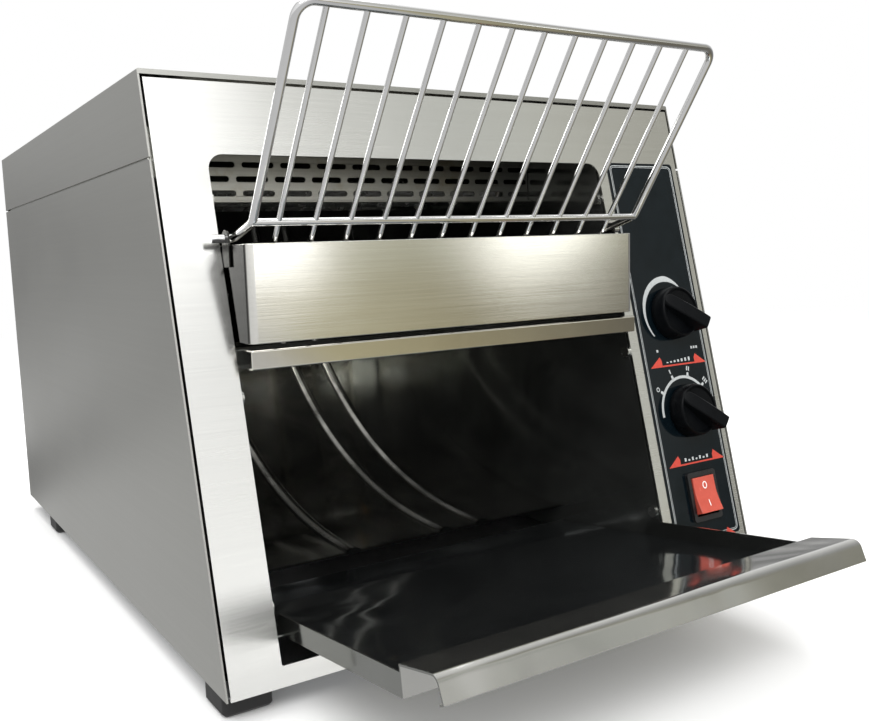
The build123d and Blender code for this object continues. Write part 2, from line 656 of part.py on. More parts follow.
save("front_shaft", conveyor_shaft(FRONT_SHAFT, OPEN_RIGHT + 9))
save("drive_shaft", conveyor_shaft(DRIVE_SHAFT, OPEN_RIGHT + 22))
save("front_belt_discs", belt_discs(FRONT_SHAFT))
save("drive_belt_discs", belt_discs(DRIVE_SHAFT))
save("shaft_bushes", wall_bushes(SHAFTS, bore=SHAFT_R + CLEAR,
                                 collar=(11.0, 5.0), spigot=(7.8, 3.0)))

# ---------------------------------------------------------------- drive
CHAIN_X = OPEN_RIGHT + 14.0             # chain's middle plane
CHAIN_WIDTH = 4.8
DRIVEN = (DRIVE_SHAFT, SHAFT_HEIGHT)    # depth, height of the driven sprocket
MOTOR = (DRIVE_SHAFT, 84.0)             # and of the motor's shaft, straight below it
DRIVEN_R, PINION_R = 20.2, 10.1         # pitch radii
SPROCKET_WIDTH = 2.8
MOTOR_SHAFT_R = 4.0


def sprocket(spot, pitch_radius, teeth, bore):
    """Add a toothed disc to the part being built."""
    with BuildSketch(side(CHAIN_X - SPROCKET_WIDTH / 2)) as wheel:
        with Locations(yz(*spot)):
            Circle(pitch_radius - 2.0)
            with PolarLocations(pitch_radius - 2.6, teeth):
                Circle(1.45)
            Circle(bore, mode=Mode.SUBTRACT)
    extrude(wheel.sketch, amount=SPROCKET_WIDTH)


with BuildPart() as driven_sprocket:
    sprocket(DRIVEN, DRIVEN_R, 20, SHAFT_R + PRESS)
    # hub
    with BuildSketch(side(CHAIN_X - SPROCKET_WIDTH / 2)):
        with Locations(yz(*DRIVEN)):
            Circle(10.0)
            Circle(SHAFT_R + PRESS, mode=Mode.SUBTRACT)
    extrude(amount=8.0)
save("driven_sprocket", driven_sprocket.part)

with BuildPart() as motor_sprocket:
    sprocket(MOTOR, PINION_R, 10, MOTOR_SHAFT_R + PRESS)
save("motor_sprocket", motor_sprocket.part)

chain_angle = math.asin((DRIVEN_R - PINION_R) / (DRIVEN[1] - MOTOR[1]))


def chain_tangent(spot, radius, direction):
    """Where the chain leaves a wheel: direction -1 at its front, 1 at its back."""
    y, z = yz(*spot)
    return (y + direction * radius * math.cos(chain_angle), z - radius * math.sin(chain_angle))


with BuildPart() as drive_chain:
    with BuildSketch(side(CHAIN_X - CHAIN_WIDTH / 2)):
        # outer outline, then the inner one cut out, each set off from the pitch line
        for off, mode in ((2.6, Mode.ADD), (-0.6, Mode.SUBTRACT)):
            upper_r, lower_r = DRIVEN_R + off, PINION_R + off
            upper_front = chain_tangent(DRIVEN, upper_r, -1)
            upper_back = chain_tangent(DRIVEN, upper_r, 1)
            lower_back = chain_tangent(MOTOR, lower_r, 1)
            lower_front = chain_tangent(MOTOR, lower_r, -1)
            with BuildLine():
                ThreePointArc(upper_front, yz(DRIVEN[0], DRIVEN[1] + upper_r), upper_back)
                Line(upper_back, lower_back)
                ThreePointArc(lower_back, yz(MOTOR[0], MOTOR[1] - lower_r), lower_front)
                Line(lower_front, upper_front)
            make_face(mode=mode)
    extrude(amount=CHAIN_WIDTH)
save("drive_chain", drive_chain.part)

BRACKET_X = CHAIN_X + 4.0
BRACKET_HALF, BRACKET_SHEET = 36, 2.0
BRACKET_LOW, BRACKET_HIGH = 1.3, MOTOR[1] + 34

with BuildPart() as motor_bracket:
    bracket_front, bracket_back = MOTOR[0] - BRACKET_HALF, MOTOR[0] + BRACKET_HALF
    with BuildSketch(side(BRACKET_X)):
        Polygon(yz(bracket_front, BRACKET_LOW), yz(bracket_back, BRACKET_LOW),
                yz(bracket_back, BRACKET_HIGH), yz(bracket_front, BRACKET_HIGH))
        with Locations(yz(*MOTOR)):
            Circle(9.0, mode=Mode.SUBTRACT)
    extrude(amount=BRACKET_SHEET)
    # foot
    with Locations((BRACKET_X + 11, *yz(MOTOR[0], 2.5))):
        Box(22, 2 * BRACKET_HALF, BRACKET_SHEET)
save("motor_bracket", motor_bracket.part)

GEARBOX_X = CHAIN_X + 6.1
GEARBOX_LENGTH, CAN_LENGTH = 24, 24

with BuildPart() as gear_motor:
    # gearbox block and round motor can
    with BuildSketch(side(GEARBOX_X)):
        with Locations(yz(*MOTOR)):
            RectangleRounded(60, 60, 8)
            Circle(MOTOR_SHAFT_R + CLEAR, mode=Mode.SUBTRACT)
    extrude(amount=GEARBOX_LENGTH)
    with BuildSketch(side(GEARBOX_X + GEARBOX_LENGTH)):
        with Locations(yz(*MOTOR)):
            Circle(28)
    extrude(amount=CAN_LENGTH)
    fillet(gear_motor.faces().sort_by(Axis.X)[-1].edges(), 3.0)
save("gear_motor", gear_motor.part)

with BuildPart() as motor_output_shaft:
    along_x(CHAIN_X - 4, GEARBOX_X + 20, *MOTOR, MOTOR_SHAFT_R)
save("motor_output_shaft", motor_output_shaft.part)

# ---------------------------------------------------------------- feed rack
RACK_TILT = math.radians(33.6)          # leans forward from upright
CROSSBAR = (20.3, 218.7)                # depth, height
RACK_LENGTH = 103.0                     # from the crossbar to the top bar
RACK_LEFT, RACK_RIGHT = -150.6, 98.9
WIRE_R, WIRE_COUNT = 1.4, 12
FIRST_WIRE_X, WIRE_PITCH = -137.3, 19.57


def rack_at(x, distance):
    """Point of the rack's plane at a distance above its crossbar."""
    return (x, *yz(CROSSBAR[0] - distance * math.sin(RACK_TILT),
                   CROSSBAR[1] + distance * math.cos(RACK_TILT)))


with BuildPart() as feed_rack:
    # frame, from the left pivot end over the top bar to the right pivot end
    frame = [
        (GUARD_LEFT - 8.5, *yz(*PIVOT)),
        (RACK_LEFT, *yz(*PIVOT)),
        rack_at(RACK_LEFT, 0),
        rack_at(RACK_LEFT, RACK_LENGTH),
        rack_at(RACK_RIGHT, RACK_LENGTH),
        rack_at(RACK_RIGHT, 0),
        (RACK_RIGHT, *yz(*PIVOT)),
        (GUARD_RIGHT + 10.5, *yz(*PIVOT)),
    ]
    sweep_wire(frame, RACK_R, [3.2, 6.0, 8.0, 8.0, 6.0, 3.2])
    along_x(RACK_LEFT, RACK_RIGHT, *CROSSBAR, 1.9)
    # inner wires: down from the top bar, past the crossbar, then turned in towards the belt
    for i in range(WIRE_COUNT):
        x = FIRST_WIRE_X + WIRE_PITCH * i
        wire = [rack_at(x, RACK_LENGTH), rack_at(x, -16), (x, *yz(52, 200.5))]
        sweep_wire(wire, WIRE_R, [6.0])
save("feed_rack", feed_rack.part)

# ---------------------------------------------------------------- knobs and controls
SPINDLE_R = 3.0
SKIRT_HEIGHT = 9.6


def knob(spot, pointer_angle):
    """Tapered round skirt with a recessed face and a bar grip, square at its pointer end."""
    base = front(1.3)
    with BuildPart() as body:
        with BuildSketch(base):
            with Locations(spot):
                Circle(17.2)
        extrude(amount=SKIRT_HEIGHT, taper=5)
        with BuildSketch(base.offset(SKIRT_HEIGHT)):
            with Locations(spot):
                Circle(14.4)
        extrude(amount=-1.4, mode=Mode.SUBTRACT)
        with BuildSketch(base.offset(7.6)):
            with Locations(Location((*spot, 0), (0, 0, pointer_angle))):
                Polygon((-5.0, -11.0), (5.0, -11.0), (5.0, 17.6), (-5.0, 17.6), align=None)
                with Locations((0, -11.0)):
                    Circle(5.0)
        extrude(amount=11.2, taper=4)
        # socket for the spindle
        with BuildSketch(front(0.5)):
            with Locations(spot):
                Circle(SPINDLE_R + PRESS)
        extrude(amount=12, mode=Mode.SUBTRACT)
    return body.part


def spindle(spot):
    with BuildPart() as rod:
        with BuildSketch(front(-16)):
            with Locations(spot):
                Circle(SPINDLE_R)
        extrude(amount=28)
    return rod.part


def control_body(spot, width, height, depth):
    """Control behind the panel, with a bush through the panel."""
    mount = front(-FRONT_SHEET - 0.2)
    with BuildPart() as body:
        with BuildSketch(mount):
            with Locations(spot):
                RectangleRounded(width, height, 2)
        extrude(amount=-depth)
        with BuildSketch(mount):
            with Locations(spot):
                Circle(4.9)
        extrude(amount=2.4)
        # bore for the spindle
        with BuildSketch(front(1.25)):
            with Locations(spot):
                Circle(SPINDLE_R + CLEAR)
        extrude(amount=-18.5, mode=Mode.SUBTRACT)
    return body.part


save("shade_knob", knob(SHADE_SPOT, -128))
save("heat_knob", knob(HEAT_SPOT, -132))
save("shade_spindle", spindle(SHADE_SPOT))
save("heat_spindle", spindle(HEAT_SPOT))
save("speed_control", control_body(SHADE_SPOT, width=32, height=32, depth=22))
save("heat_selector", control_body(HEAT_SPOT, width=36, height=40, depth=38))

PIN_R = 1.5
BEZEL_WINDOW, BEZEL_BODY = (20.4, 25.0), (22.0, 27.0)
ROCKER_WIDTH = 19.8
ROCKER_TIP = -8.0                       # rest position in degrees, upper end pressed
# rocker's side profile about its pivot: up the slope, outwards
ROCKER_PROFILE = [(-11.5, -3.0), (-11.5, 6.4), (0, 5.2), (11.5, 6.4), (11.5, -3.0), (0, -6.5)]


def rocker_pivot(x):
    """Point of the rocker's pivot line, 1 mm behind the front face."""
    return front(-1.0).from_local_coords((x, ROCKER_SPOT[1], 0))


with BuildPart() as rocker_bezel:
    # rim on the overlay, then the walls through the panel, then the closed body behind
    with BuildSketch(front(OVERLAY_THICKNESS)):
        with Locations(ROCKER_SPOT):
            RectangleRounded(26.0, 31.5, 2.0)
            Rectangle(*BEZEL_WINDOW, mode=Mode.SUBTRACT)
    extrude(amount=2.2)
    with BuildSketch(front(OVERLAY_THICKNESS)):
        with Locations(ROCKER_SPOT):
            Rectangle(*BEZEL_BODY)
            Rectangle(*BEZEL_WINDOW, mode=Mode.SUBTRACT)
    extrude(amount=-12)
    with BuildSketch(front(OVERLAY_THICKNESS - 12)):
        with Locations(ROCKER_SPOT):
            Rectangle(*BEZEL_BODY)
    extrude(amount=-12)
    # holes in its side walls for the rocker's pivot pins
    with Locations(Location(rocker_pivot(ROCKER_X), (0, 90, 0))):
        Cylinder(PIN_R + CLEAR, 24, mode=Mode.SUBTRACT)
save("rocker_bezel", rocker_bezel.part)

with BuildPart() as rocker_button:
    with BuildSketch(Plane(origin=rocker_pivot(ROCKER_X - ROCKER_WIDTH / 2),
                           x_dir=(0, LEAN_SIN, LEAN_COS), z_dir=(1, 0, 0))):
        with BuildLine():
            Polyline(*[Vector(*point).rotate(Axis.Z, ROCKER_TIP) for point in ROCKER_PROFILE],
                     close=True)
        make_face()
    extrude(amount=ROCKER_WIDTH)
    with Locations(Location(rocker_pivot(ROCKER_X), (0, 90, 0))):
        Cylinder(PIN_R, ROCKER_WIDTH + 2)
save("rocker_button", rocker_button.part)

# ---------------------------------------------------------------- cooling fan
FAN_REAR_Y = to_y(BACK_FACE - SHEET) - 0.2      # just in front of the back panel
FAN_DEPTH = 22.0
SPIDER = 2.5                            # thickness of the fan's front arms
FAN_HUB_R, FAN_PIN_R = 13.0, 2.0
BLADES, BLADE_TWIST = 7, 38
DIAGONALS = [Location((0, 0, 0), (0, 0, angle)) for angle in (45, 135)]

with BuildPart() as fan_frame:
    with BuildSketch(facing_front(FAN_REAR_Y)):
        with Locations((FAN_X, FAN_Z)):
            RectangleRounded(60, 60, 4)
            Circle(28.0, mode=Mode.SUBTRACT)
            with GridLocations(FAN_SCREW_PITCH, FAN_SCREW_PITCH, 2, 2):
                Circle(SCREW_HOLE_R, mode=Mode.SUBTRACT)
    extrude(amount=FAN_DEPTH)
    # spider arms and the bearing pin
    spider_plane = facing_front(FAN_REAR_Y - (FAN_DEPTH - SPIDER))
    with BuildSketch(spider_plane):
        with Locations((FAN_X, FAN_Z)):
            Circle(FAN_HUB_R)
            with Locations(*DIAGONALS):
                Rectangle(58, 3.5)
    extrude(amount=SPIDER)
    with BuildSketch(spider_plane):
        with Locations((FAN_X, FAN_Z)):
            Circle(FAN_PIN_R)
    extrude(amount=-13)
save("fan_frame", fan_frame.part)

with BuildPart() as fan_rotor:
    with BuildSketch(facing_front(FAN_REAR_Y - 3.0)):
        with Locations((FAN_X, FAN_Z)):
            Circle(FAN_HUB_R)
            Circle(FAN_PIN_R + CLEAR, mode=Mode.SUBTRACT)
    extrude(amount=15.0)
    with Locations((FAN_X, FAN_REAR_Y - 10.5, FAN_Z)):
        for i in range(BLADES):
            with Locations(Location((0, 0, 0), (0, 360 / BLADES * i, 0))):
                with Locations(Location((19.0, 0, 0), (BLADE_TWIST, 0, 0))):
                    Box(15.0, 1.4, 14.0)
save("fan_rotor", fan_rotor.part)

with BuildPart() as fan_guard:
    # wire guard outside the back panel
    with BuildSketch(facing_front(to_y(DEPTH) - 1.0)):
        with Locations((FAN_X, FAN_Z)):
            for radius in (8, 14.5, 21, 27.5):
                Circle(radius + 0.8)
                Circle(radius - 0.8, mode=Mode.SUBTRACT)
            Circle(3.5)
            with Locations(*DIAGONALS):
                SlotOverall(76, 2.0)
            with GridLocations(FAN_SCREW_PITCH, FAN_SCREW_PITCH, 2, 2):
                Circle(4.4)
                Circle(SCREW_HOLE_R, mode=Mode.SUBTRACT)
    extrude(amount=-1.6)
save("fan_guard", fan_guard.part)

# ---------------------------------------------------------------- mains entry
CORD_R = 4.0
GRIP_R, GRIP_BORE_R = 8.0, 4.1

with BuildPart() as cord_grip:
    grip_plane = facing_back(CORD_X, *yz(BACK_FACE, CORD_HEIGHT))
    with BuildSketch(grip_plane):
        RegularPolygon(11, 6)
        Circle(GRIP_BORE_R, mode=Mode.SUBTRACT)
    extrude(amount=7)
    # sleeve outside, then inside the panel
    for length in (14, -10):
        with BuildSketch(grip_plane):
            Circle(GRIP_R)
            Circle(GRIP_BORE_R, mode=Mode.SUBTRACT)
        extrude(amount=length)
save("cord_grip", cord_grip.part)

with BuildPart() as power_cord:
    cord_points = [(DEPTH + 20, CORD_HEIGHT), (DEPTH - 40, CORD_HEIGHT), (DEPTH - 62, 26)]
    sweep_wire([(CORD_X, *yz(*point)) for point in cord_points], CORD_R, [12.0])
save("power_cord", power_cord.part)

BLOCK_X, BLOCK_DEPTH = 138, DEPTH - 78
BLOCK_LOW, BLOCK_HEIGHT = 2.6, 18

with BuildPart() as terminal_block:
    with Locations((BLOCK_X, *yz(BLOCK_DEPTH, BLOCK_LOW + BLOCK_HEIGHT / 2))):
        Box(46, 24, BLOCK_HEIGHT)
    with Locations((BLOCK_X, *yz(BLOCK_DEPTH, BLOCK_LOW + BLOCK_HEIGHT))):
        with GridLocations(9, 0, 5, 1):
            Hole(radius=2.6, depth=6)
save("terminal_block", terminal_block.part)

# ---------------------------------------------------------------- feet and fasteners
FOOT_RECESS = 6.0                       # screw head recess, from below

with BuildPart() as rubber_feet:
    for spot in FOOT_SPOTS:
        with BuildSketch(Plane.XY):
            with Locations(spot):
                RectangleRounded(26, 26, 3)
        extrude(amount=FOOT_HEIGHT)
    chamfer(rubber_feet.faces().group_by(Axis.Z)[0].edges(), 1.5)
    with Locations(*[(*spot, FOOT_HEIGHT) for spot in FOOT_SPOTS]):
        Hole(radius=2.2, depth=30)
    with Locations(*[(*spot, FOOT_RECESS / 2) for spot in FOOT_SPOTS]):
        Cylinder(5.0, FOOT_RECESS, mode=Mode.SUBTRACT)
save("rubber_feet", rubber_feet.part)

with BuildPart() as foot_screws:
    for spot in FOOT_SPOTS:
        with Locations((*spot, FOOT_RECESS - 1.4)):
            Cylinder(4.2, 2.6)
        with Locations((*spot, FOOT_RECESS + 5.6)):
            Cylinder(2.0, 11.6)
save("foot_screws", foot_screws.part)

SHANK_R = 1.9

with BuildPart() as casing_screws:
    for x, z in REAR_SCREWS:
        # head behind the casing, shank into it
        for radius, length in ((4.0, 2.0), (SHANK_R, -7.0)):
            with BuildSketch(facing_back(x, to_y(DEPTH) + 0.05, z)):
                Circle(radius)
            extrude(amount=length)
save("casing_screws", casing_screws.part)

with BuildPart() as wall_screws:
    for hand, wall_x in ((-1, OPEN_LEFT), (1, OPEN_RIGHT)):
        for spot in WALL_SCREWS:
            # head in the chamber, shank out through the wall
            for radius, gap, length in ((3.4, 0.05, -1.6), (SHANK_R, 0.1, 7.0)):
                with BuildSketch(side(wall_x - hand * gap)):
                    with Locations(yz(*spot)):
                        Circle(radius)
                extrude(amount=hand * length)
save("wall_screws", wall_screws.part)

with BuildPart() as fan_screws:
    with Locations((FAN_X, to_y(DEPTH) + 0.65, FAN_Z)):
        with GridLocations(FAN_SCREW_PITCH, 0, 2, 1):
            for rise in (-FAN_SCREW_PITCH / 2, FAN_SCREW_PITCH / 2):
                with Locations(Location((0, 1.0, rise), (90, 0, 0))):
                    Cylinder(3.6, 1.8)
                with Locations(Location((0, -3.5, rise), (90, 0, 0))):
                    Cylinder(SHANK_R, 8.0)
save("fan_screws", fan_screws.part)
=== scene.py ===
"""Looks for a countertop conveyor oven: metal, plastic and printed finishes, the control panel's
prints, its two knobs and rocker switch, and a white studio with lights and camera.

+Z is up, the front faces -Y, and +X is to the right seen from the front. The front panel leans
back as it rises, with the controls at its right. Mesh sizes are in mm; materials, lights and the
finished scene are in metres.
"""

import json
import math

import bmesh
import bpy
from mathutils import Matrix, Vector


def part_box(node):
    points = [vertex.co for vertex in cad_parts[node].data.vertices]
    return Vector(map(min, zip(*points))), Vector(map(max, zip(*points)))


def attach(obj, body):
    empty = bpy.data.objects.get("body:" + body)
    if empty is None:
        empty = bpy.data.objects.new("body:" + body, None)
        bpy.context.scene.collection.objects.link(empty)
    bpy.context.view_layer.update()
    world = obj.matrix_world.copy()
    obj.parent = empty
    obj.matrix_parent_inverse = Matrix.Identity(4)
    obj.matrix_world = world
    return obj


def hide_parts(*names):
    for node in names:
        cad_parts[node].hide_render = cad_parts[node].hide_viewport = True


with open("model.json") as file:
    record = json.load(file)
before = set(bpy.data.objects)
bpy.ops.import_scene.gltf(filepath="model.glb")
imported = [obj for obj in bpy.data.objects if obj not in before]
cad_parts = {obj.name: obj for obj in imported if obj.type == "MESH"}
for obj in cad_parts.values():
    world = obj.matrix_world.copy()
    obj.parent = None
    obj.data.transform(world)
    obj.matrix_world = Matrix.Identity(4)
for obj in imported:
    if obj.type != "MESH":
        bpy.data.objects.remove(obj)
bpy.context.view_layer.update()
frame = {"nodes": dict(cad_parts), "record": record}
nodes = frame["nodes"]

# ------------------------------------------------------------------ driving dimensions, mm
MM = 0.001
FRONT_Y, FOOT_H = -183.715, 12.0  # lower edge of the sloping front
FRONT_RISE, FRONT_SETBACK = 296.0, 71.5
LEAN = math.atan2(FRONT_SETBACK, FRONT_RISE)
COS, SIN = math.cos(LEAN), math.sin(LEAN)
OUTWARD = Vector((0, -COS, SIN))
UPHILL = Vector((0, SIN, COS))

# Places on the front: x, and the distance up the slope from its lower edge
KNOB_X, ROCKER_X = 149.8, 149.0
SHADE_UP, HEAT_UP, ROCKER_UP = 156.0 / COS, 93.5 / COS, 39.8 / COS
PANEL_X0, PANEL_X1 = 118.0, 178.2
PANEL_UP0, PANEL_UP1 = 12.5 / COS, 255.3 / COS


def on_front(x, up, out):
    """A point x across, up the sloping front and out from it, in mm."""
    return Vector((x, FRONT_Y, FOOT_H)) + UPHILL * up + OUTWARD * out


# ------------------------------------------------------------------ node helpers
def opaque(colour):
    return (*colour, 1.0) if isinstance(colour, tuple) else colour


class Shader:
    """Builds a node tree. Any input may be a plain value or the socket that feeds it."""

    def __init__(self, name, world=False):
        self.block = (bpy.data.worlds if world else bpy.data.materials).new(name)
        self.block.use_nodes = True
        self.tree = self.block.node_tree
        self.tree.nodes.clear()
        self.out = self.new("OutputWorld" if world else "OutputMaterial")

    def new(self, kind, inputs=None, **settings):
        """Add a node. inputs is keyed by socket name or index."""
        node = self.tree.nodes.new("ShaderNode" + kind)
        for key, value in settings.items():
            setattr(node, key, value)
        for key, value in (inputs or {}).items():
            self.put(node.inputs[key], value)
        return node

    def put(self, socket, value):
        if isinstance(value, bpy.types.NodeSocket):
            self.tree.links.new(value, socket)
        else:
            socket.default_value = value

    def coords(self, kind="Object"):
        return self.new("TexCoord").outputs[kind]

    def normal(self):
        return self.new("NewGeometry").outputs["Normal"]

    def math(self, operation, first, second=0.0):
        inputs = {0: first, 1: second, 2: 0.0}
        return self.new("Math", inputs, operation=operation).outputs[0]

    def add(self, first, second):
        return self.math("ADD", first, second)

    def mul(self, first, second):
        return self.math("MULTIPLY", first, second)

    def dot(self, vector, axis):
        return self.new("VectorMath", {0: vector, 1: axis}, operation="DOT_PRODUCT").outputs["Value"]

    def xyz(self, parts):
        return self.new("CombineXYZ", dict(enumerate(parts))).outputs[0]

    def split(self, vector):
        return self.new("SeparateXYZ", {0: vector}).outputs

    def noise(self, vector, scale, detail, rough, distortion=0.0):
        inputs = {"Vector": vector, "Scale": scale, "Detail": detail, "Roughness": rough}
        return self.new("TexNoise", {**inputs, "Distortion": distortion}).outputs["Fac"]

    def span(self, value, source, target, smooth=False):
        """Map the source range of value to the target range, clamped."""
        inputs = dict(enumerate((value, *source, *target)))
        kind = "SMOOTHSTEP" if smooth else "LINEAR"
        return self.new("MapRange", inputs, clamp=True, interpolation_type=kind).outputs[0]

    def mix(self, factor, first, second):
        inputs = {0: factor, 6: opaque(first), 7: opaque(second)}
        return self.new("Mix", inputs, data_type="RGBA").outputs[2]

    def scale(self, colour, factor):
        inputs = {0: colour, "Scale": factor}
        return self.new("VectorMath", inputs, operation="SCALE").outputs[0]

    def bump(self, height, depth, normal=None):
        node = self.new("Bump", {"Height": height, "Distance": depth})
        if normal is not None:
            self.put(node.inputs["Normal"], normal)
        return node.outputs[0]

    def surface(self, base, rough, normal, metallic=0.0, **more):
        inputs = {"Base Color": base, "Roughness": rough, "Metallic": metallic, "Normal": normal}
        inputs.update({key.replace("_", " "): value for key, value in more.items()})
        node = self.new("BsdfPrincipled", inputs)
        self.put(self.out.inputs["Surface"], node.outputs[0])
        return node

    def azimuth(self, x, y):
        """Direction round +Z as 0 to 1: see turn()."""
        angle = self.math("ARCTAN2", x, self.mul(y, -1.0))
        return self.span(angle, (-math.pi, math.pi), (0, 1))

    def ramp(self, factor, stops):
        """stops: (azimuth in degrees, grey level or colour)."""
        node = self.new("ValToRGB", {0: factor})
        node.color_ramp.interpolation = "LINEAR"
        elements = node.color_ramp.elements
        elements.remove(elements[0])
        for i, (degrees, colour) in enumerate(stops):
            element = elements[0] if i == 0 else elements.new(turn(degrees))
            element.position = turn(degrees)
            element.color = opaque(colour if isinstance(colour, tuple) else (colour,) * 3)
        return node.outputs[0]


def turn(degrees):
    """Azimuth as 0 to 1 from an angle in degrees: 0 is the front, 90 the right."""
    return (degrees + 180) / 360


# ------------------------------------------------------------------ finishes
X, Y, Z = (1, 0, 0), (0, 1, 0), (0, 0, 1)


def brushed(name, base, rough, grain, cross, aniso, contrast, lines, cloud=0.08, wave=0.0,
            stain=0.0, painted_shade_x=None, sides=None):
    """Brushed sheet: fine lines along grain, reflections drawn out along cross.

    lines is their density; contrast, cloud and stain set how much lines, clouds and spots show;
    wave is the unevenness in m; heat is (from x, to x, tone there), painted shade towards +x;
    sides is the tone of faces turned to the left or right, painted shade.
    """
    mat = Shader(name)
    place = mat.coords()
    along, across = Vector(grain).normalized(), Vector(cross).normalized()
    axes = (along, across, along.cross(across))

    def streaks(stretch, density, detail, rough):
        scales = (stretch, density, density)
        parts = [mat.mul(mat.dot(place, axis), scale) for axis, scale in zip(axes, scales)]
        return mat.noise(mat.xyz(parts), scale=1, detail=detail, rough=rough)

    fine = streaks(stretch=14, density=lines, detail=3, rough=0.6)
    broad = streaks(stretch=5, density=lines * 0.22, detail=2, rough=0.5)
    cloudy = mat.noise(place, scale=7, detail=3, rough=0.55)
    tone = mat.add(mat.span(fine, (0.25, 0.75), (-contrast, contrast)),
                   mat.span(broad, (0.3, 0.7), (-contrast * 0.5, contrast * 0.5)))
    tone = mat.add(tone, mat.span(cloudy, (0.3, 0.7), (1 - cloud, 1 + cloud * 0.6)))
    colour = mat.scale(base, tone)
    if stain:
        spots = mat.noise(place, scale=26, detail=5, rough=0.7)
        spots = mat.span(spots, (0.52, 0.72), (0, stain), smooth=True)
        brown = tuple(part * fade for part, fade in zip(base, (0.72, 0.62, 0.45)))
        colour = mat.mix(spots, colour, brown)
    # painted shade: faces turned to the left or right are coloured darker
    if sides:
        turned = mat.math("ABSOLUTE", mat.dot(mat.normal(), X))
        colour = mat.scale(colour, mat.span(turned, (0.8, 0.96), (1, sides), smooth=True))
    # painted shade: the sheet is coloured darker towards +x, along a ragged line
    if painted_shade_x:
        start, end, dark = painted_shade_x
        ragged = mat.noise(place, scale=12, detail=3, rough=0.6)
        ragged_x = mat.add(mat.dot(place, X), mat.span(ragged, (0.3, 0.7), (-0.02, 0.02)))
        colour = mat.scale(colour, mat.span(ragged_x, (start, end), (1, dark), smooth=True))
    roughness = mat.add(mat.span(fine, (0.2, 0.8), (rough - 0.04, rough + 0.04)),
                        mat.span(cloudy, (0.35, 0.65), (-0.02, 0.035)))
    normal = mat.bump(fine, depth=0.000006)
    if wave:
        normal = mat.bump(mat.noise(place, scale=11, detail=1, rough=0.4), wave, normal)
    mat.surface(colour, roughness, normal, metallic=1.0, Anisotropic=aniso, Tangent=mat.xyz(across))
    return mat.block


def polished(name, base, rough, smear, wave=0.0, wave_scale=9.0, dark=0.0, metallic=1.0):
    """Polished or plated metal: wave is its unevenness in m, smear and dark its wiped marks."""
    mat = Shader(name)
    place = mat.coords()
    smears = mat.noise(place, scale=18, detail=5, rough=0.62, distortion=0.8)
    specks = mat.noise(place, scale=420, detail=2, rough=0.5)
    colour = mat.scale(base, mat.span(smears, (0.3, 0.7), (1.0 - dark - 0.06, 1.04)))
    roughness = mat.add(mat.span(smears, (0.4, 0.75), (rough, rough + smear)),
                        mat.span(specks, (0.62, 0.75), (0, 0.05)))
    if wave:
        normal = mat.bump(mat.noise(place, scale=wave_scale, detail=1, rough=0.3), wave)
    else:
        normal = mat.bump(specks, depth=0.000004)
    mat.surface(colour, roughness, normal, metallic)
    return mat.block


def moulded(name, base, rough, grain, depth=0.00003, coat=0.0, tint=0.25, spec=0.5, dust=0.12):
    """Moulded plastic, rubber or ceramic: grain and depth (m) set its texture, tint its mottling."""
    mat = Shader(name)
    place = mat.coords()
    texture = mat.noise(place, scale=grain, detail=2, rough=0.6)
    touch = mat.noise(place, scale=70, detail=4, rough=0.6)
    colour = mat.scale(base, mat.span(touch, (0.3, 0.7), (1 - tint, 1 + tint)))
    dusty = mat.noise(place, scale=260, detail=4, rough=0.7)
    dusty = mat.span(dusty, (0.6, 0.8), (0, dust), smooth=True)
    colour = mat.mix(dusty, colour, (0.16, 0.16, 0.155))
    roughness = mat.span(touch, (0.3, 0.7), (rough - 0.06, rough + 0.06))
    mat.surface(colour, roughness, mat.bump(texture, depth), Coat_Weight=coat,
                Coat_Roughness=0.08, Specular_IOR_Level=spec)
    return mat.block


def chute_finish():
    """Dark mirror chute: painted highlights along its rib crests, painted shade along its front
    edge.
    """
    mat = Shader("chute_steel")
    place = mat.coords()
    x, y, z = mat.split(place)
    crests = None
    # where across the chute the painted highlights run, one line per rib
    for rib_x in (-0.130, -0.060, 0.010, 0.040):
        away = mat.math("ABSOLUTE", mat.math("SUBTRACT", x, rib_x - 0.0022))
        crest = mat.span(away, (0.0007, 0.0024), (1, 0), smooth=True)
        crests = crest if crests is None else mat.math("MAXIMUM", crests, crest)
    smears = mat.noise(place, scale=16, detail=5, rough=0.6, distortion=0.6)
    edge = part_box("chute")[0].y
    crests = mat.mul(crests, mat.span(y, (edge + 0.004, edge + 0.02), (0, 1)))
    # painted highlights, strongest at middle height
    highlight_height = mat.mul(mat.span(z, (0.035, 0.075), (0.25, 1), smooth=True),
                     mat.span(z, (0.11, 0.19), (1, 0.45), smooth=True))
    patchy = mat.noise(place, scale=30, detail=3, rough=0.6)
    # painted highlight: the rib crests are coloured bright and partly diffuse, in patches
    painted_highlight = mat.mul(mat.mul(crests, highlight_height), mat.span(patchy, (0.3, 0.65), (0.35, 1)))
    dark = mat.scale((0.33, 0.33, 0.31), mat.span(smears, (0.3, 0.7), (0.6, 1.5)))
    # painted shade: the chute's front edge is coloured near-black
    edge_shade = mat.span(y, (edge + 0.001, edge + 0.003), (1, 0))
    dark = mat.mix(edge_shade, dark, (0.012, 0.012, 0.012))
    colour = mat.mix(painted_highlight, dark, (0.95, 0.93, 0.86))
    roughness = mat.span(smears, (0.35, 0.75), (0.09, 0.2))
    normal = mat.bump(mat.noise(place, scale=10, detail=1, rough=0.3), depth=0.0011)
    shader = mat.surface(colour, roughness, normal, metallic=0.93)
    mat.put(shader.inputs["Metallic"], mat.span(painted_highlight, (0, 1), (0.985, 0.35)))
    return mat.block


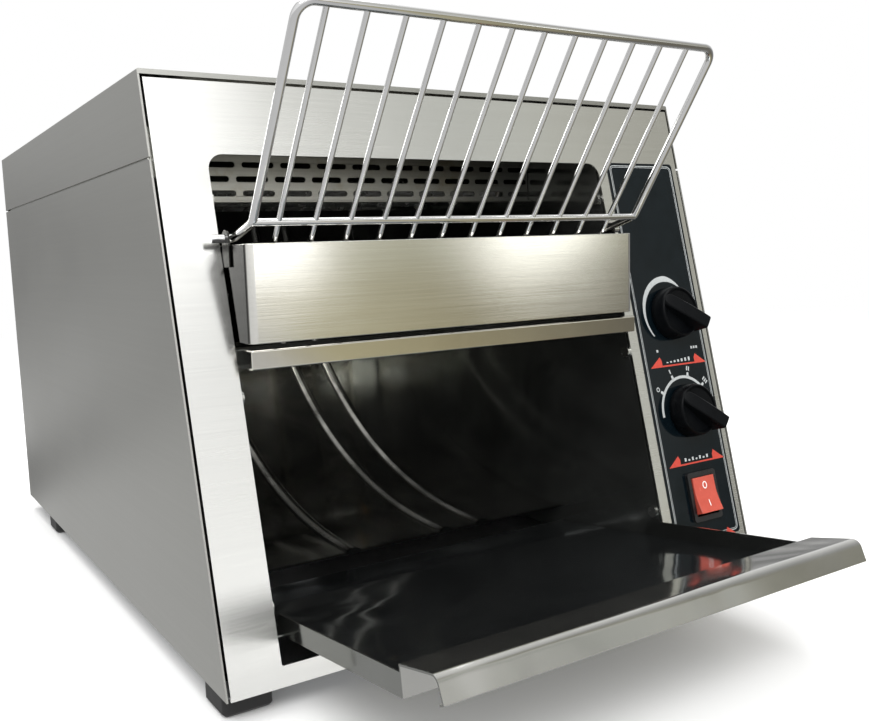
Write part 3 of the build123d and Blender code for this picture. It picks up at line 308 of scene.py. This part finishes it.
def tray_finish():
    """Mirror floor inside the tray coloured near-black and side walls darker, both painted shade;
    bright polished steel elsewhere.
    """
    mat = Shader("tray_finish")
    place = mat.coords()
    slope = math.radians(6.9)
    origin = Vector((0, FRONT_Y - 95.4, FOOT_H + 32.4)) * MM
    back = Vector((0, math.cos(slope), -math.sin(slope)))
    up = Vector((0, math.sin(slope), math.cos(slope)))
    offset = mat.new("VectorMath", {0: place, 1: origin}, operation="SUBTRACT").outputs[0]
    depth, height = mat.dot(offset, back), mat.dot(offset, up)
    normal = mat.normal()
    facing = mat.span(mat.dot(normal, up), (0.9, 0.97), (0, 1))
    inside = mat.mul(mat.span(depth, (0.0002, 0.0008), (0, 1)),
                     mat.span(height, (0.0016, 0.0030), (1, 0)))
    floor = mat.mul(facing, inside)
    smears = mat.noise(place, scale=14, detail=5, rough=0.6, distortion=0.7)
    crumbs = mat.noise(place, scale=650, detail=3, rough=0.7)
    crumbs = mat.span(crumbs, (0.69, 0.78), (0, 0.25))
    # painted shade: the floor inside the tray is coloured darker than the rest, a painted reflection
    # of the dark oven inside; the crumbs are real dirt
    dark = mat.scale((0.28, 0.30, 0.31), mat.span(smears, (0.3, 0.7), (0.8, 1.2)))
    dark = mat.mix(crumbs, dark, (0.2, 0.19, 0.17))
    bright = mat.scale((0.54, 0.54, 0.515), mat.span(smears, (0.3, 0.7), (0.9, 1.06)))
    # painted shade: faces turned to the left or right are coloured darker
    side_shade = mat.span(mat.math("ABSOLUTE", mat.dot(normal, X)), (0.8, 0.95), (0, 1))
    bright = mat.mix(side_shade, bright, (0.26, 0.265, 0.25))
    roughness = mat.add(mat.span(smears, (0.4, 0.75), (0.075, 0.14)),
                        mat.mul(mat.math("SUBTRACT", 1.0, floor), 0.03))
    wave = mat.noise(place, scale=17, detail=1, rough=0.35, distortion=0.5)
    mat.surface(mat.mix(floor, bright, dark), roughness, mat.bump(wave, depth=0.0016),
                metallic=0.975)
    return mat.block


def quartz_finish():
    """Milky, half-clear quartz."""
    mat = Shader("quartz")
    milk = mat.noise(mat.coords(), scale=60, detail=4, rough=0.6)
    mat.surface(mat.scale((0.72, 0.72, 0.7), mat.span(milk, (0.3, 0.7), (0.85, 1.1))),
                mat.span(milk, (0.3, 0.7), (0.18, 0.34)), mat.bump(milk, depth=0.00005),
                Transmission_Weight=0.55, IOR=1.46)
    return mat.block


def ink(name, base):
    """Screen-printed ink with slight unevenness of cover."""
    mat = Shader(name)
    cover = mat.noise(mat.coords(), scale=900, detail=3, rough=0.6)
    mat.surface(mat.scale(base, mat.span(cover, (0.25, 0.75), (0.86, 1.08))),
                mat.span(cover, (0.3, 0.7), (0.35, 0.45)), mat.bump(cover, depth=0.000006),
                Coat_Weight=0.4, Coat_Roughness=0.12)
    return mat.block


BRUSHED = dict(
    side_steel=dict(base=(0.475, 0.475, 0.448), rough=0.35, grain=Y, cross=Z, aniso=0.5,
                    contrast=0.03, lines=2600, cloud=0.03),
    front_steel=dict(base=(0.80, 0.80, 0.775), rough=0.23, grain=X, cross=UPHILL, aniso=0.45,
                     contrast=0.028, lines=2600, cloud=0.03, wave=0.0005),
    back_steel=dict(base=(0.58, 0.58, 0.56), rough=0.36, grain=X, cross=Z, aniso=0.5,
                    contrast=0.07, lines=1300, cloud=0.07),
    # guard_steel: its left and right faces get painted shade (sides)
    guard_steel=dict(base=(0.90, 0.89, 0.84), rough=0.12, grain=X, cross=Z, aniso=0.8,
                     contrast=0.03, lines=3000, cloud=0.025, wave=0.0003, sides=0.055),
    # baffle_steel: real stains, and painted shade that darkens it towards +x (heat)
    baffle_steel=dict(base=(0.66, 0.655, 0.60), rough=0.38, grain=X, cross=Z, aniso=0.3,
                      contrast=0.1, lines=900, cloud=0.2, stain=0.7, painted_shade_x=(-0.13, 0.06, 0.3)),
    belt_wire=dict(base=(0.30, 0.285, 0.25), rough=0.3, grain=X, cross=Z, aniso=0.2,
                   contrast=0.2, lines=700, cloud=0.25, stain=0.5),
    machined_steel=dict(base=(0.5, 0.5, 0.49), rough=0.3, grain=Y, cross=X, aniso=0.3,
                        contrast=0.12, lines=2400),
    chain_steel=dict(base=(0.22, 0.21, 0.19), rough=0.35, grain=Y, cross=X, aniso=0.1,
                     contrast=0.25, lines=500, cloud=0.2, stain=0.6),
    spindle_alu=dict(base=(0.62, 0.62, 0.62), rough=0.28, grain=Y, cross=X, aniso=0.3,
                     contrast=0.1, lines=2000),
)
POLISHED = dict(
    trim_polished=dict(base=(0.83, 0.805, 0.735), rough=0.05, smear=0.04, wave=0.00025,
                       wave_scale=14),
    chamber_steel=dict(base=(0.30, 0.31, 0.295), rough=0.10, smear=0.10, wave=0.0007, dark=0.3,
                       metallic=0.93),
    # a lighter copy of chamber_steel for the inner left wall: painted light
    left_wall_mirror=dict(base=(0.60, 0.605, 0.58), rough=0.05, smear=0.06, wave=0.0007,
                          dark=0.2, metallic=0.975),
    reflector=dict(base=(0.34, 0.34, 0.33), rough=0.2, smear=0.12, wave=0.0006, wave_scale=12,
                   dark=0.3),
    bronze=dict(base=(0.52, 0.33, 0.16), rough=0.3, smear=0.15, dark=0.2),
    galvanised=dict(base=(0.5, 0.51, 0.52), rough=0.34, smear=0.15, dark=0.2),
    # near-black steel for the rack brackets: painted shade
    bracket_steel=dict(base=(0.055, 0.055, 0.05), rough=0.2, smear=0.1, dark=0.2),
    chrome_wire=dict(base=(0.80, 0.80, 0.80), rough=0.07, smear=0.04),
    screw_zinc=dict(base=(0.62, 0.62, 0.59), rough=0.2, smear=0.1, dark=0.1),
)
MOULDED = dict(
    ceramic=dict(base=(0.72, 0.69, 0.62), rough=0.75, grain=900, depth=0.00008, tint=0.12),
    motor_paint=dict(base=(0.02, 0.02, 0.022), rough=0.36, grain=700),
    overlay=dict(base=(0.0022, 0.0048, 0.0068), rough=0.12, grain=2600, depth=0.000003,
                 tint=0.12, spec=0.26, dust=0.012),
    knob_black=dict(base=(0.0022, 0.0026, 0.0032), rough=0.30, grain=1700, tint=0.2, spec=0.08,
                    dust=0.012),
    switch_plastic=dict(base=(0.03, 0.03, 0.03), rough=0.45, grain=900),
    bezel_black=dict(base=(0.010, 0.010, 0.011), rough=0.3, grain=1600, depth=0.00002),
    rocker_red=dict(base=(0.47, 0.070, 0.045), rough=0.24, grain=2500, depth=0.000008, coat=0.3,
                    tint=0.1),
    fan_plastic=dict(base=(0.018, 0.018, 0.019), rough=0.42, grain=1200),
    cord_rubber=dict(base=(0.012, 0.012, 0.012), rough=0.5, grain=800, depth=0.00005),
    foot_rubber=dict(base=(0.011, 0.011, 0.011), rough=0.55, grain=900, depth=0.00006),
)
FINISH = {"chute_steel": chute_finish(), "tray_steel": tray_finish(), "quartz": quartz_finish()}
for make, looks in ((brushed, BRUSHED), (polished, POLISHED), (moulded, MOULDED)):
    for name, look in looks.items():
        FINISH[name] = make(name, **look)
GREY_INK = ink("print_grey", (0.44, 0.46, 0.46))
RED_INK = ink("print_red", (0.50, 0.040, 0.022))
WHITE_INK = ink("print_white", (0.86, 0.86, 0.84))

# ------------------------------------------------------------------ finishing the CAD pieces
slots = {part["node"]: part["material_slot"] for part in frame["record"]["subparts"]}
# the inner left wall takes a lighter copy of the chamber steel as painted light
# the rack brackets take near-black steel as painted shade
slots.update(inner_left_wall="left_wall_mirror", rack_brackets="bracket_steel")

# Width of the rounded edge of each piece, mm
EDGE = {
    "left_side_panel": 0.35, "right_side_panel": 0.35, "top_cover": 0.35, "back_panel": 0.3,
    "front_panel": 0.4, "front_guard": 0.4, "trim_bar": 0.25, "receiving_tray": 0.25,
    "rack_brackets": 0.3, "base_pan": 0.3, "slotted_baffle": 0.25, "rubber_feet": 0.8,
    "rocker_bezel": 0.4, "gear_motor": 0.6, "motor_bracket": 0.3, "speed_control": 0.5,
    "heat_selector": 0.5, "terminal_block": 0.6, "fan_frame": 0.4, "cord_grip": 0.4,
    "trim_channel": 0.2, "tray_rails": 0.2, "control_overlay": 0.15,
}


def add_bevel(obj, width, segments, angle):
    bevel = obj.modifiers.new("bevel", "BEVEL")
    bevel.width = width * MM
    bevel.segments = segments
    bevel.limit_method = "ANGLE"
    bevel.angle_limit = math.radians(angle)
    bevel.harden_normals = True


def round_edges(obj, width):
    mesh = obj.data
    if "custom_normal" in mesh.attributes:
        mesh.attributes.remove(mesh.attributes["custom_normal"])
    mesh.polygons.foreach_set("use_smooth", [True] * len(mesh.polygons))
    obj.modifiers.new("weld", "WELD").merge_threshold = 0.00001
    add_bevel(obj, width, segments=3, angle=28)
    obj.modifiers.new("normals", "WEIGHTED_NORMAL").keep_sharp = True


for name, obj in nodes.items():
    obj.data.materials.clear()
    obj.data.materials.append(FINISH[slots[name]])
    if name in EDGE:
        round_edges(obj, EDGE[name])


# ------------------------------------------------------------------ mesh helpers, mm
def piece(name, parts, material, body, angle, bevel=0.0, segments=3):
    """One object from (vertices, faces) parts. Edges over angle degrees are sharp."""
    verts, faces = [], []
    for part_verts, part_faces in parts:
        first = len(verts)
        verts += part_verts
        faces += [tuple(i + first for i in face) for face in part_faces]
    mesh = bpy.data.meshes.new(name)
    mesh.from_pydata([vert * MM for vert in verts], [], faces)
    work = bmesh.new()
    work.from_mesh(mesh)
    bmesh.ops.recalc_face_normals(work, faces=work.faces)
    work.to_mesh(mesh)
    work.free()
    mesh.materials.append(material)
    mesh.polygons.foreach_set("use_smooth", [True] * len(mesh.polygons))
    mesh.set_sharp_from_angle(angle=math.radians(angle))
    obj = bpy.data.objects.new(name, mesh)
    bpy.context.scene.collection.objects.link(obj)
    if bevel:
        add_bevel(obj, bevel, segments, angle=25)
    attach(obj, body)
    return obj


def loft(sections, closed=False):
    """Skin through sections of equal point count: capped, or closed from last back to first."""
    size, count = len(sections[0]), len(sections)
    verts = [point for section in sections for point in section]
    faces = []
    for i in range(count if closed else count - 1):
        low, high = i * size, (i + 1) % count * size
        for j in range(size):
            k = (j + 1) % size
            faces.append((low + j, low + k, high + k, high + j))
    if not closed:
        faces.append(tuple(reversed(range(size))))
        faces.append(tuple(range((count - 1) * size, count * size)))
    return verts, faces


def rectangle(x0, x1, y0, y1):
    return [(x0, y0), (x1, y0), (x1, y1), (x0, y1)]


def oval(x, y, radius_x, radius_y, count):
    angles = [2 * math.pi * i / count for i in range(count)]
    return [(x + radius_x * math.cos(a), y + radius_y * math.sin(a)) for a in angles]


# ------------------------------------------------------------------ printed control panel
PRINT_OUT, PRINT_H = 0.49, 0.06
ARC_STEPS, CORNER_STEPS = 40, 8
# Borders: inset from the panel's edge, line width, corner radius
BORDERS = ((1.7, 0.42, 3.2), (2.75, 0.26, 2.4))
SELECTOR_STOPS = [math.radians(degrees) for degrees in (-55, -20, 15, 50)]
TICK_R, MARK_R = 22.9, 28.2
TICK = [(-1.1, 0), (1.1, 0), (0.75, 2.6), (-0.75, 2.6)]
MARK_PITCH, SQUARE_PITCH, BAR_PITCH = 1.7, 2.4, 3.4
BAR_FOOT = -0.9
# Arrows: place up the front, and the heights of the bars above them
ARROWS = (
    (SHADE_UP - 31.0, (0.7, 1.0, 1.3, 1.6, 1.9, 2.2, 2.5)),
    (HEAT_UP - 31.0, (2.1, 1.1, 2.1, 1.1, 2.1, 1.1, 2.1)),
    (ROCKER_UP - 27.0, (1.8, 1.8, 1.8)),
)
WEDGE = [(26.0, -3.2), (15.2, -3.2), (15.2, 0.9), (16.6, 3.4)]


def raised(outline, height=PRINT_H):
    """A solid print from an outline of (x, up) points."""
    return loft([[on_front(*point, out) for point in outline]
                 for out in (PRINT_OUT, PRINT_OUT + height)])


def plate(points, x, up, angle=0.0, height=PRINT_H):
    """A print whose points are (right, up) about a place, turned clockwise by angle."""
    cos, sin = math.cos(angle), math.sin(angle)
    return raised([(x + a * cos + b * sin, up - a * sin + b * cos) for a, b in points], height)


def band(inner, outer):
    """A print between two closed outlines."""
    low, high = PRINT_OUT, PRINT_OUT + PRINT_H
    rings = ((outer, low), (outer, high), (inner, high), (inner, low))
    return loft([[on_front(*point, out) for point in ring] for ring, out in rings], closed=True)


def panel_outline(inset, radius):
    """The panel's outline drawn in by inset, with rounded corners."""
    left, right = PANEL_X0 + inset + radius, PANEL_X1 - inset - radius
    low, high = PANEL_UP0 + inset + radius, PANEL_UP1 - inset - radius
    points = []
    for x, up, start in ((right, high, 0), (left, high, 90), (left, low, 180), (right, low, 270)):
        for i in range(CORNER_STEPS + 1):
            angle = math.radians(start + 90 * i / CORNER_STEPS)
            points.append((x + radius * math.cos(angle), up + radius * math.sin(angle)))
    return points


def around(up, angle, radius, side=0.0):
    """A place round a knob, its angle clockwise from uphill, moved sideways by side."""
    cos, sin = math.cos(angle), math.sin(angle)
    return KNOB_X + radius * sin + side * cos, up + radius * cos - side * sin


def arc(up, start, end, inner, outer, taper=lambda t: 1.0):
    """An arc print round a knob, in degrees clockwise from uphill. taper scales its width."""
    near, far = [], []
    for i in range(ARC_STEPS + 1):
        t = i / ARC_STEPS
        angle = math.radians(start + (end - start) * t)
        near.append(around(up, angle, inner))
        far.append(around(up, angle, inner + (outer - inner) * taper(t)))
    return raised(near + far[::-1])


def swell(t, peak=0.78):
    """Widens up to the peak, then narrows quickly."""
    if t < peak:
        return 0.25 + 0.75 * math.sin(math.pi * t / peak * 0.5) ** 1.3
    return 1.0 - 0.85 * (t - peak) / (1 - peak)


def spread(count, pitch):
    """Evenly spaced offsets about 0."""
    return [(j - (count - 1) / 2) * pitch for j in range(count)]


def grey_prints():
    prints = [band(panel_outline(inset + width, radius - width), panel_outline(inset, radius))
              for inset, width, radius in BORDERS]
    prints.append(arc(SHADE_UP, start=-128, end=40, inner=21.6, outer=25.4, taper=swell))
    prints.append(arc(HEAT_UP, start=-95, end=62, inner=21.4, outer=23.2))
    for stop in SELECTOR_STOPS:
        prints.append(plate(TICK, *around(HEAT_UP, stop, TICK_R), stop))
    # a ring at the selector's first stop, then one, two and three bars
    x, up = around(HEAT_UP, SELECTOR_STOPS[0], MARK_R)
    prints.append(band(oval(x, up, 0.9, 0.9, 24), oval(x, up, 1.5, 1.5, 24)))
    for count, stop in enumerate(SELECTOR_STOPS[1:], 1):
        for side in spread(count, MARK_PITCH):
            place = around(HEAT_UP, stop, MARK_R, side)
            prints.append(plate(rectangle(-0.45, 0.45, -1.4, 1.4), *place, stop))
    # one square and three squares below the shade knob, left and right
    for x, count in ((-17.5, 1), (17.0, 3)):
        for side in spread(count, SQUARE_PITCH):
            square = rectangle(-0.8, 0.8, -0.8, 0.8)
            prints.append(plate(square, KNOB_X + x + side, SHADE_UP - 23.5))
    for up, heights in ARROWS:
        for x, height in zip(spread(len(heights), BAR_PITCH), heights):
            bar = rectangle(x - 0.8, x + 0.8, BAR_FOOT, BAR_FOOT + height)
            prints.append(plate(bar, KNOB_X, up))
    return prints


def red_prints():
    """Double-headed arrows: two wedges joined by a thin line."""
    prints = []
    for up, _ in ARROWS:
        prints.append(plate([(-x, y) for x, y in WEDGE[::-1]], KNOB_X, up))
        prints.append(plate(WEDGE, KNOB_X, up))
        line = rectangle(-15.3, 15.3, -3.2, -2.2)
        prints.append(plate(line, KNOB_X, up, height=PRINT_H * 0.8))
    return prints


piece("panel_print_grey", grey_prints(), GREY_INK, "casing", angle=50)
piece("panel_print_red", red_prints(), RED_INK, "casing", angle=50)

# ------------------------------------------------------------------ knobs
# Skirt: radius, height out from the front
SKIRT = (
    (16.8, 1.35), (17.15, 1.7), (17.15, 3.0), (16.85, 6.0), (16.55, 8.6), (16.3, 9.9),
    (15.8, 10.6), (15.2, 10.85), (14.6, 10.65), (14.2, 10.0), (13.8, 9.6), (12.8, 9.45),
    (9.0, 9.4), (4.0, 9.4), (0.5, 9.4),
)
# Grip bar, tail to pointer end: place along it, half width at foot and at top, height
GRIP = (
    (-15.6, 1.6, 1.2, 10.5), (-15.2, 3.0, 2.3, 11.2), (-14.2, 4.2, 3.3, 11.8),
    (-12.4, 4.9, 4.0, 12.5), (-9.0, 5.0, 4.2, 13.6), (0.0, 5.0, 4.25, 16.2),
    (9.0, 5.0, 4.25, 18.5), (15.6, 5.0, 4.2, 19.9), (16.5, 4.9, 4.1, 19.95),
    (17.1, 4.6, 3.8, 19.3),
)
GRIP_FOOT = 8.95


def knob(name, knob_up, pointer, node):
    """A dished skirt with a grip bar turned pointer degrees anticlockwise from uphill."""
    skirt = loft([[on_front(*point, out) for point in oval(KNOB_X, knob_up, radius, radius, 96)]
                  for radius, out in SKIRT])
    cos, sin = math.cos(math.radians(pointer)), math.sin(math.radians(pointer))
    rows = []
    for along, foot, top, height in GRIP:
        half = [(foot, GRIP_FOOT), (foot - 0.25, GRIP_FOOT + (height - GRIP_FOOT) * 0.4),
                (top + 0.25, height - 0.75), (top - 0.45, height - 0.08)]
        row = [(-side, out) for side, out in half] + [(0, height)] + half[::-1]
        rows.append([on_front(KNOB_X - sin * along + cos * side,
                              knob_up + cos * along + sin * side, out) for side, out in row])
    obj = piece(name, [skirt, loft(rows)], FINISH["knob_black"], node, angle=32,
                bevel=0.35, segments=2)
    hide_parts(node)


knob("shade_knob_grip", SHADE_UP, -128, "shade_knob")
knob("heat_knob_grip", HEAT_UP, -132, "heat_knob")

# ------------------------------------------------------------------ rocker
ROCKER_HALF_L, ROCKER_HALF_W = 11.5, 9.9
ROCKER_TIP = math.radians(-8.0)
ROCKER_MIDDLE_H, ROCKER_END_LIFT = 5.2, 1.2
ROCKER_SINK = 1.0
FACE_STEPS = 12


def on_tipped(x, along, height):
    """A point on the rocker, tipped about its middle; along runs uphill."""
    cos, sin = math.cos(ROCKER_TIP), math.sin(ROCKER_TIP)
    return on_front(ROCKER_X + x, ROCKER_UP + along * cos - height * sin,
                    along * sin + height * cos - ROCKER_SINK)


def face_height(along):
    return ROCKER_MIDDLE_H + ROCKER_END_LIFT * (abs(along) / ROCKER_HALF_L) ** 1.5


def rocker_cap():
    end = ROCKER_HALF_L
    face = [end * (-1 + 2 * i / FACE_STEPS) for i in range(FACE_STEPS + 1)]
    profile = [(-end, -3.0), (-end, ROCKER_MIDDLE_H)]
    profile += [(along, face_height(along)) for along in face]
    profile += [(end, ROCKER_MIDDLE_H), (end, -3.0), (0, -6.4)]
    body = loft([[on_tipped(x, *point) for point in profile]
                 for x in (-ROCKER_HALF_W, ROCKER_HALF_W)])
    obj = piece("rocker_cap", [body], FINISH["rocker_red"], "rocker", angle=30,
                bevel=0.55, segments=4)
    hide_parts("rocker_button")


def rocker_marks():
    """A ring on the upper half and a bar on the lower, following the face."""
    def ring(outline, lift):
        return [on_tipped(x, along, face_height(along) + lift) for x, along in outline]

    low, high = -0.05, 0.09
    inner, outer = oval(0, 6.0, 1.35, 1.75, 32), oval(0, 6.0, 1.95, 2.35, 32)
    bar = rectangle(-0.32, 0.32, -7.6, -3.6)
    circle = loft([ring(outer, low), ring(outer, high), ring(inner, high), ring(inner, low)],
                  closed=True)
    parts = [circle, loft([ring(bar, low), ring(bar, high)])]
    piece("rocker_marks", parts, WHITE_INK, "rocker", angle=50)


rocker_cap()
rocker_marks()

# ------------------------------------------------------------------ studio
# Brightness by azimuth in degrees: the floor in reflections, the world low down and high up
FLOOR_STOPS = (
    (-180, 0.06), (-171, 0.12), (-167, 0.26), (-163, 0.76), (-159.5, 0.85), (-157.5, 0.30),
    (-152, 0.26), (-145, 0.6), (-90, 0.6), (0, 0.62), (17, 0.5), (22, (0.44, 0.41, 0.28)),
    (26, (0.40, 0.37, 0.25)), (32, (0.33, 0.30, 0.20)), (38, (0.25, 0.23, 0.165)),
    (46, (0.15, 0.14, 0.115)), (70, 0.24), (120, 0.4), (180, 0.14),
)
LOW_STOPS = (
    (-180, 0.08), (-171, 0.14), (-167, 0.28), (-160, 0.6), (-157.5, 0.3), (-152, 0.26),
    (-145, 0.6), (-110, 0.6), (-60, 0.8), (0, 1.0), (12, 1.1), (18, 1.9), (26.3, 2.1),
    (29.2, (0.55, 0.55, 0.47)), (34.5, (0.40, 0.4, 0.32)), (37.5, (0.8, 0.8, 0.74)),
    (39.7, (2.3, 2.3, 2.2)), (43.4, (1.75, 1.75, 1.64)), (46.0, (0.38, 0.37, 0.28)),
    (52, 0.2), (62, 0.13), (100, 0.3), (180, 0.08),
)
HIGH_STOPS = (
    (-180, 0.5), (-160, 0.55), (-100, 0.9), (-50, 0.95), (0, 0.98), (20, 0.96), (24, 0.98),
    (28.5, (0.80, 0.80, 0.78)), (35, (0.66, 0.66, 0.63)), (40.6, (0.50, 0.51, 0.48)),
    (45.0, (0.60, 0.61, 0.58)), (48.5, (0.66, 0.66, 0.61)), (51.5, (0.36, 0.35, 0.29)),
    (70, 0.45), (95, 0.7), (115, 0.95), (140, 1.1), (180, 1.1),
)
FLOOR_HALF, FLOOR_Z = 12, -0.0004


def floor_finish():
    """Pale paper that fades to white far off, and shows its own ramp in reflections."""
    mat = Shader("floor")
    place = mat.coords()
    paper = mat.noise(place, scale=3, detail=3, rough=0.5)
    path = mat.new("LightPath").outputs
    tone = mat.scale((0.93, 0.93, 0.925), mat.span(paper, (0.3, 0.7), (0.985, 1)))
    diffuse = mat.new("BsdfDiffuse", {"Color": tone})
    x, y, _ = mat.split(place)
    reflected = mat.new("Emission", {0: mat.ramp(mat.azimuth(x, y), FLOOR_STOPS)})
    glossy = mat.math("MAXIMUM", path["Is Glossy Ray"], 0.0)
    near = mat.new("MixShader", {0: glossy, 1: diffuse.outputs[0], 2: reflected.outputs[0]})
    glow = mat.new("Emission", {0: (1, 1, 1, 1)})
    distance = mat.new("VectorMath", {0: place}, operation="LENGTH").outputs["Value"]
    far = mat.mul(mat.span(distance, (0.9, 2.6), (0, 1), smooth=True), path["Is Camera Ray"])
    faded = mat.new("MixShader", {0: far, 1: near.outputs[0], 2: glow.outputs[0]})
    mat.put(mat.out.inputs["Surface"], faded.outputs[0])
    return mat.block


def studio_world():
    """Surroundings that light and reflect; the camera itself sees plain white."""
    mat = Shader("studio_world", world=True)
    x, y, z = mat.split(mat.coords("Generated"))
    azimuth = mat.azimuth(x, y)
    elevation = mat.math("ARCSINE", z)

    def above(start, end):
        angles = (math.radians(start), math.radians(end))
        return mat.span(elevation, angles, (0, 1), smooth=True)

    low, high = mat.ramp(azimuth, LOW_STOPS), mat.ramp(azimuth, HIGH_STOPS)
    colour = mat.mix(above(2.5, 8), low, high)
    colour = mat.mix(above(42, 70), colour, (1.0, 1.0, 0.99))
    # a bright patch in front, above 23 degrees
    width = mat.mul(mat.span(azimuth, (turn(-60), turn(-20)), (0, 1)),
                    mat.span(azimuth, (turn(23.5), turn(27.5)), (1, 0)))
    colour = mat.mix(mat.mul(above(23, 30), width), colour, (2.0, 2.0, 2.0))
    camera_ray = mat.new("LightPath").outputs["Is Camera Ray"]
    background = mat.new("Background", {0: mat.mix(camera_ray, colour, (1, 1, 1))})
    mat.put(mat.out.inputs["Surface"], background.outputs[0])
    return mat.block


def softbox(name, location, target, size, watts, glossy=False):
    """A rectangular light; glossy makes it show in reflections."""
    lamp = bpy.data.lights.new(name, "AREA")
    lamp.shape = "RECTANGLE"
    lamp.size, lamp.size_y = size
    lamp.energy = watts
    obj = bpy.data.objects.new(name, lamp)
    bpy.context.scene.collection.objects.link(obj)
    obj.location = location
    obj.rotation_mode = "QUATERNION"
    obj.rotation_quaternion = (Vector(target) - Vector(location)).to_track_quat("-Z", "Y")
    obj.visible_glossy = glossy
    return obj


floor_mesh = bpy.data.meshes.new("studio_floor")
corners = rectangle(-FLOOR_HALF, FLOOR_HALF, -FLOOR_HALF, FLOOR_HALF)
floor_mesh.from_pydata([(x, y, FLOOR_Z) for x, y in corners], [], [(0, 1, 2, 3)])
floor_mesh.materials.append(floor_finish())
floor = bpy.data.objects.new("studio_floor", floor_mesh)
bpy.context.scene.collection.objects.link(floor)
bpy.context.scene.world = studio_world()

softbox("key", location=(-0.9, -1.3, 1.7), target=(0, 0, 0.1), size=(1.4, 1.0), watts=22,
        glossy=True)
glint = softbox("chamber_glint", location=(-0.60, -1.05, 0.17), target=(0, 0.1, 0.11),
                size=(0.7, 0.22), watts=17, glossy=True)
# the glint lights only these two pieces
lit = bpy.data.collections.new("chamber_glint_lights")
for name in ("chute", "inner_left_wall"):
    lit.objects.link(nodes[name])
glint.light_linking.receiver_collection = lit
softbox("fill", location=(1.5, -1.1, 1.2), target=(0, 0, 0.1), size=(1.2, 1.0), watts=9)
softbox("top", location=(0.1, 0.4, 2.0), target=(0, 0, 0), size=(1.6, 1.6), watts=20, glossy=True)

# ------------------------------------------------------------------ camera
# Place in mm; yaw from +Y towards +X, pitch upwards and roll, in radians
CAMERA_PLACE = Vector((-323.0265313, FRONT_Y - 373.4080845, FOOT_H + 200.3153755))
YAW, PITCH, ROLL = 0.528758007, -0.124186898, -0.038732

forward = Vector((math.sin(YAW) * math.cos(PITCH), math.cos(YAW) * math.cos(PITCH),
                  math.sin(PITCH)))
level = Vector((math.cos(YAW), -math.sin(YAW), 0))
upright = level.cross(forward)
right = level * math.cos(ROLL) + upright * math.sin(ROLL)
top = -level * math.sin(ROLL) + upright * math.cos(ROLL)
pose = Matrix((right, top, -forward)).transposed().to_4x4()
pose.translation = CAMERA_PLACE * MM

lens = bpy.data.cameras.new("camera")
lens.sensor_fit = "HORIZONTAL"
lens.sensor_width = 36.0
lens.lens = 37.460576
lens.shift_x = 0.079801571
lens.shift_y = 0.011832113
lens.clip_start = 0.01
camera = bpy.data.objects.new("camera", lens)
bpy.context.scene.collection.objects.link(camera)
camera.matrix_world = pose
bpy.context.scene.camera = camera
bpy.context.scene.view_settings.view_transform = "Standard"
bpy.context.scene.view_settings.look = "None"

bpy.context.view_layer.update()
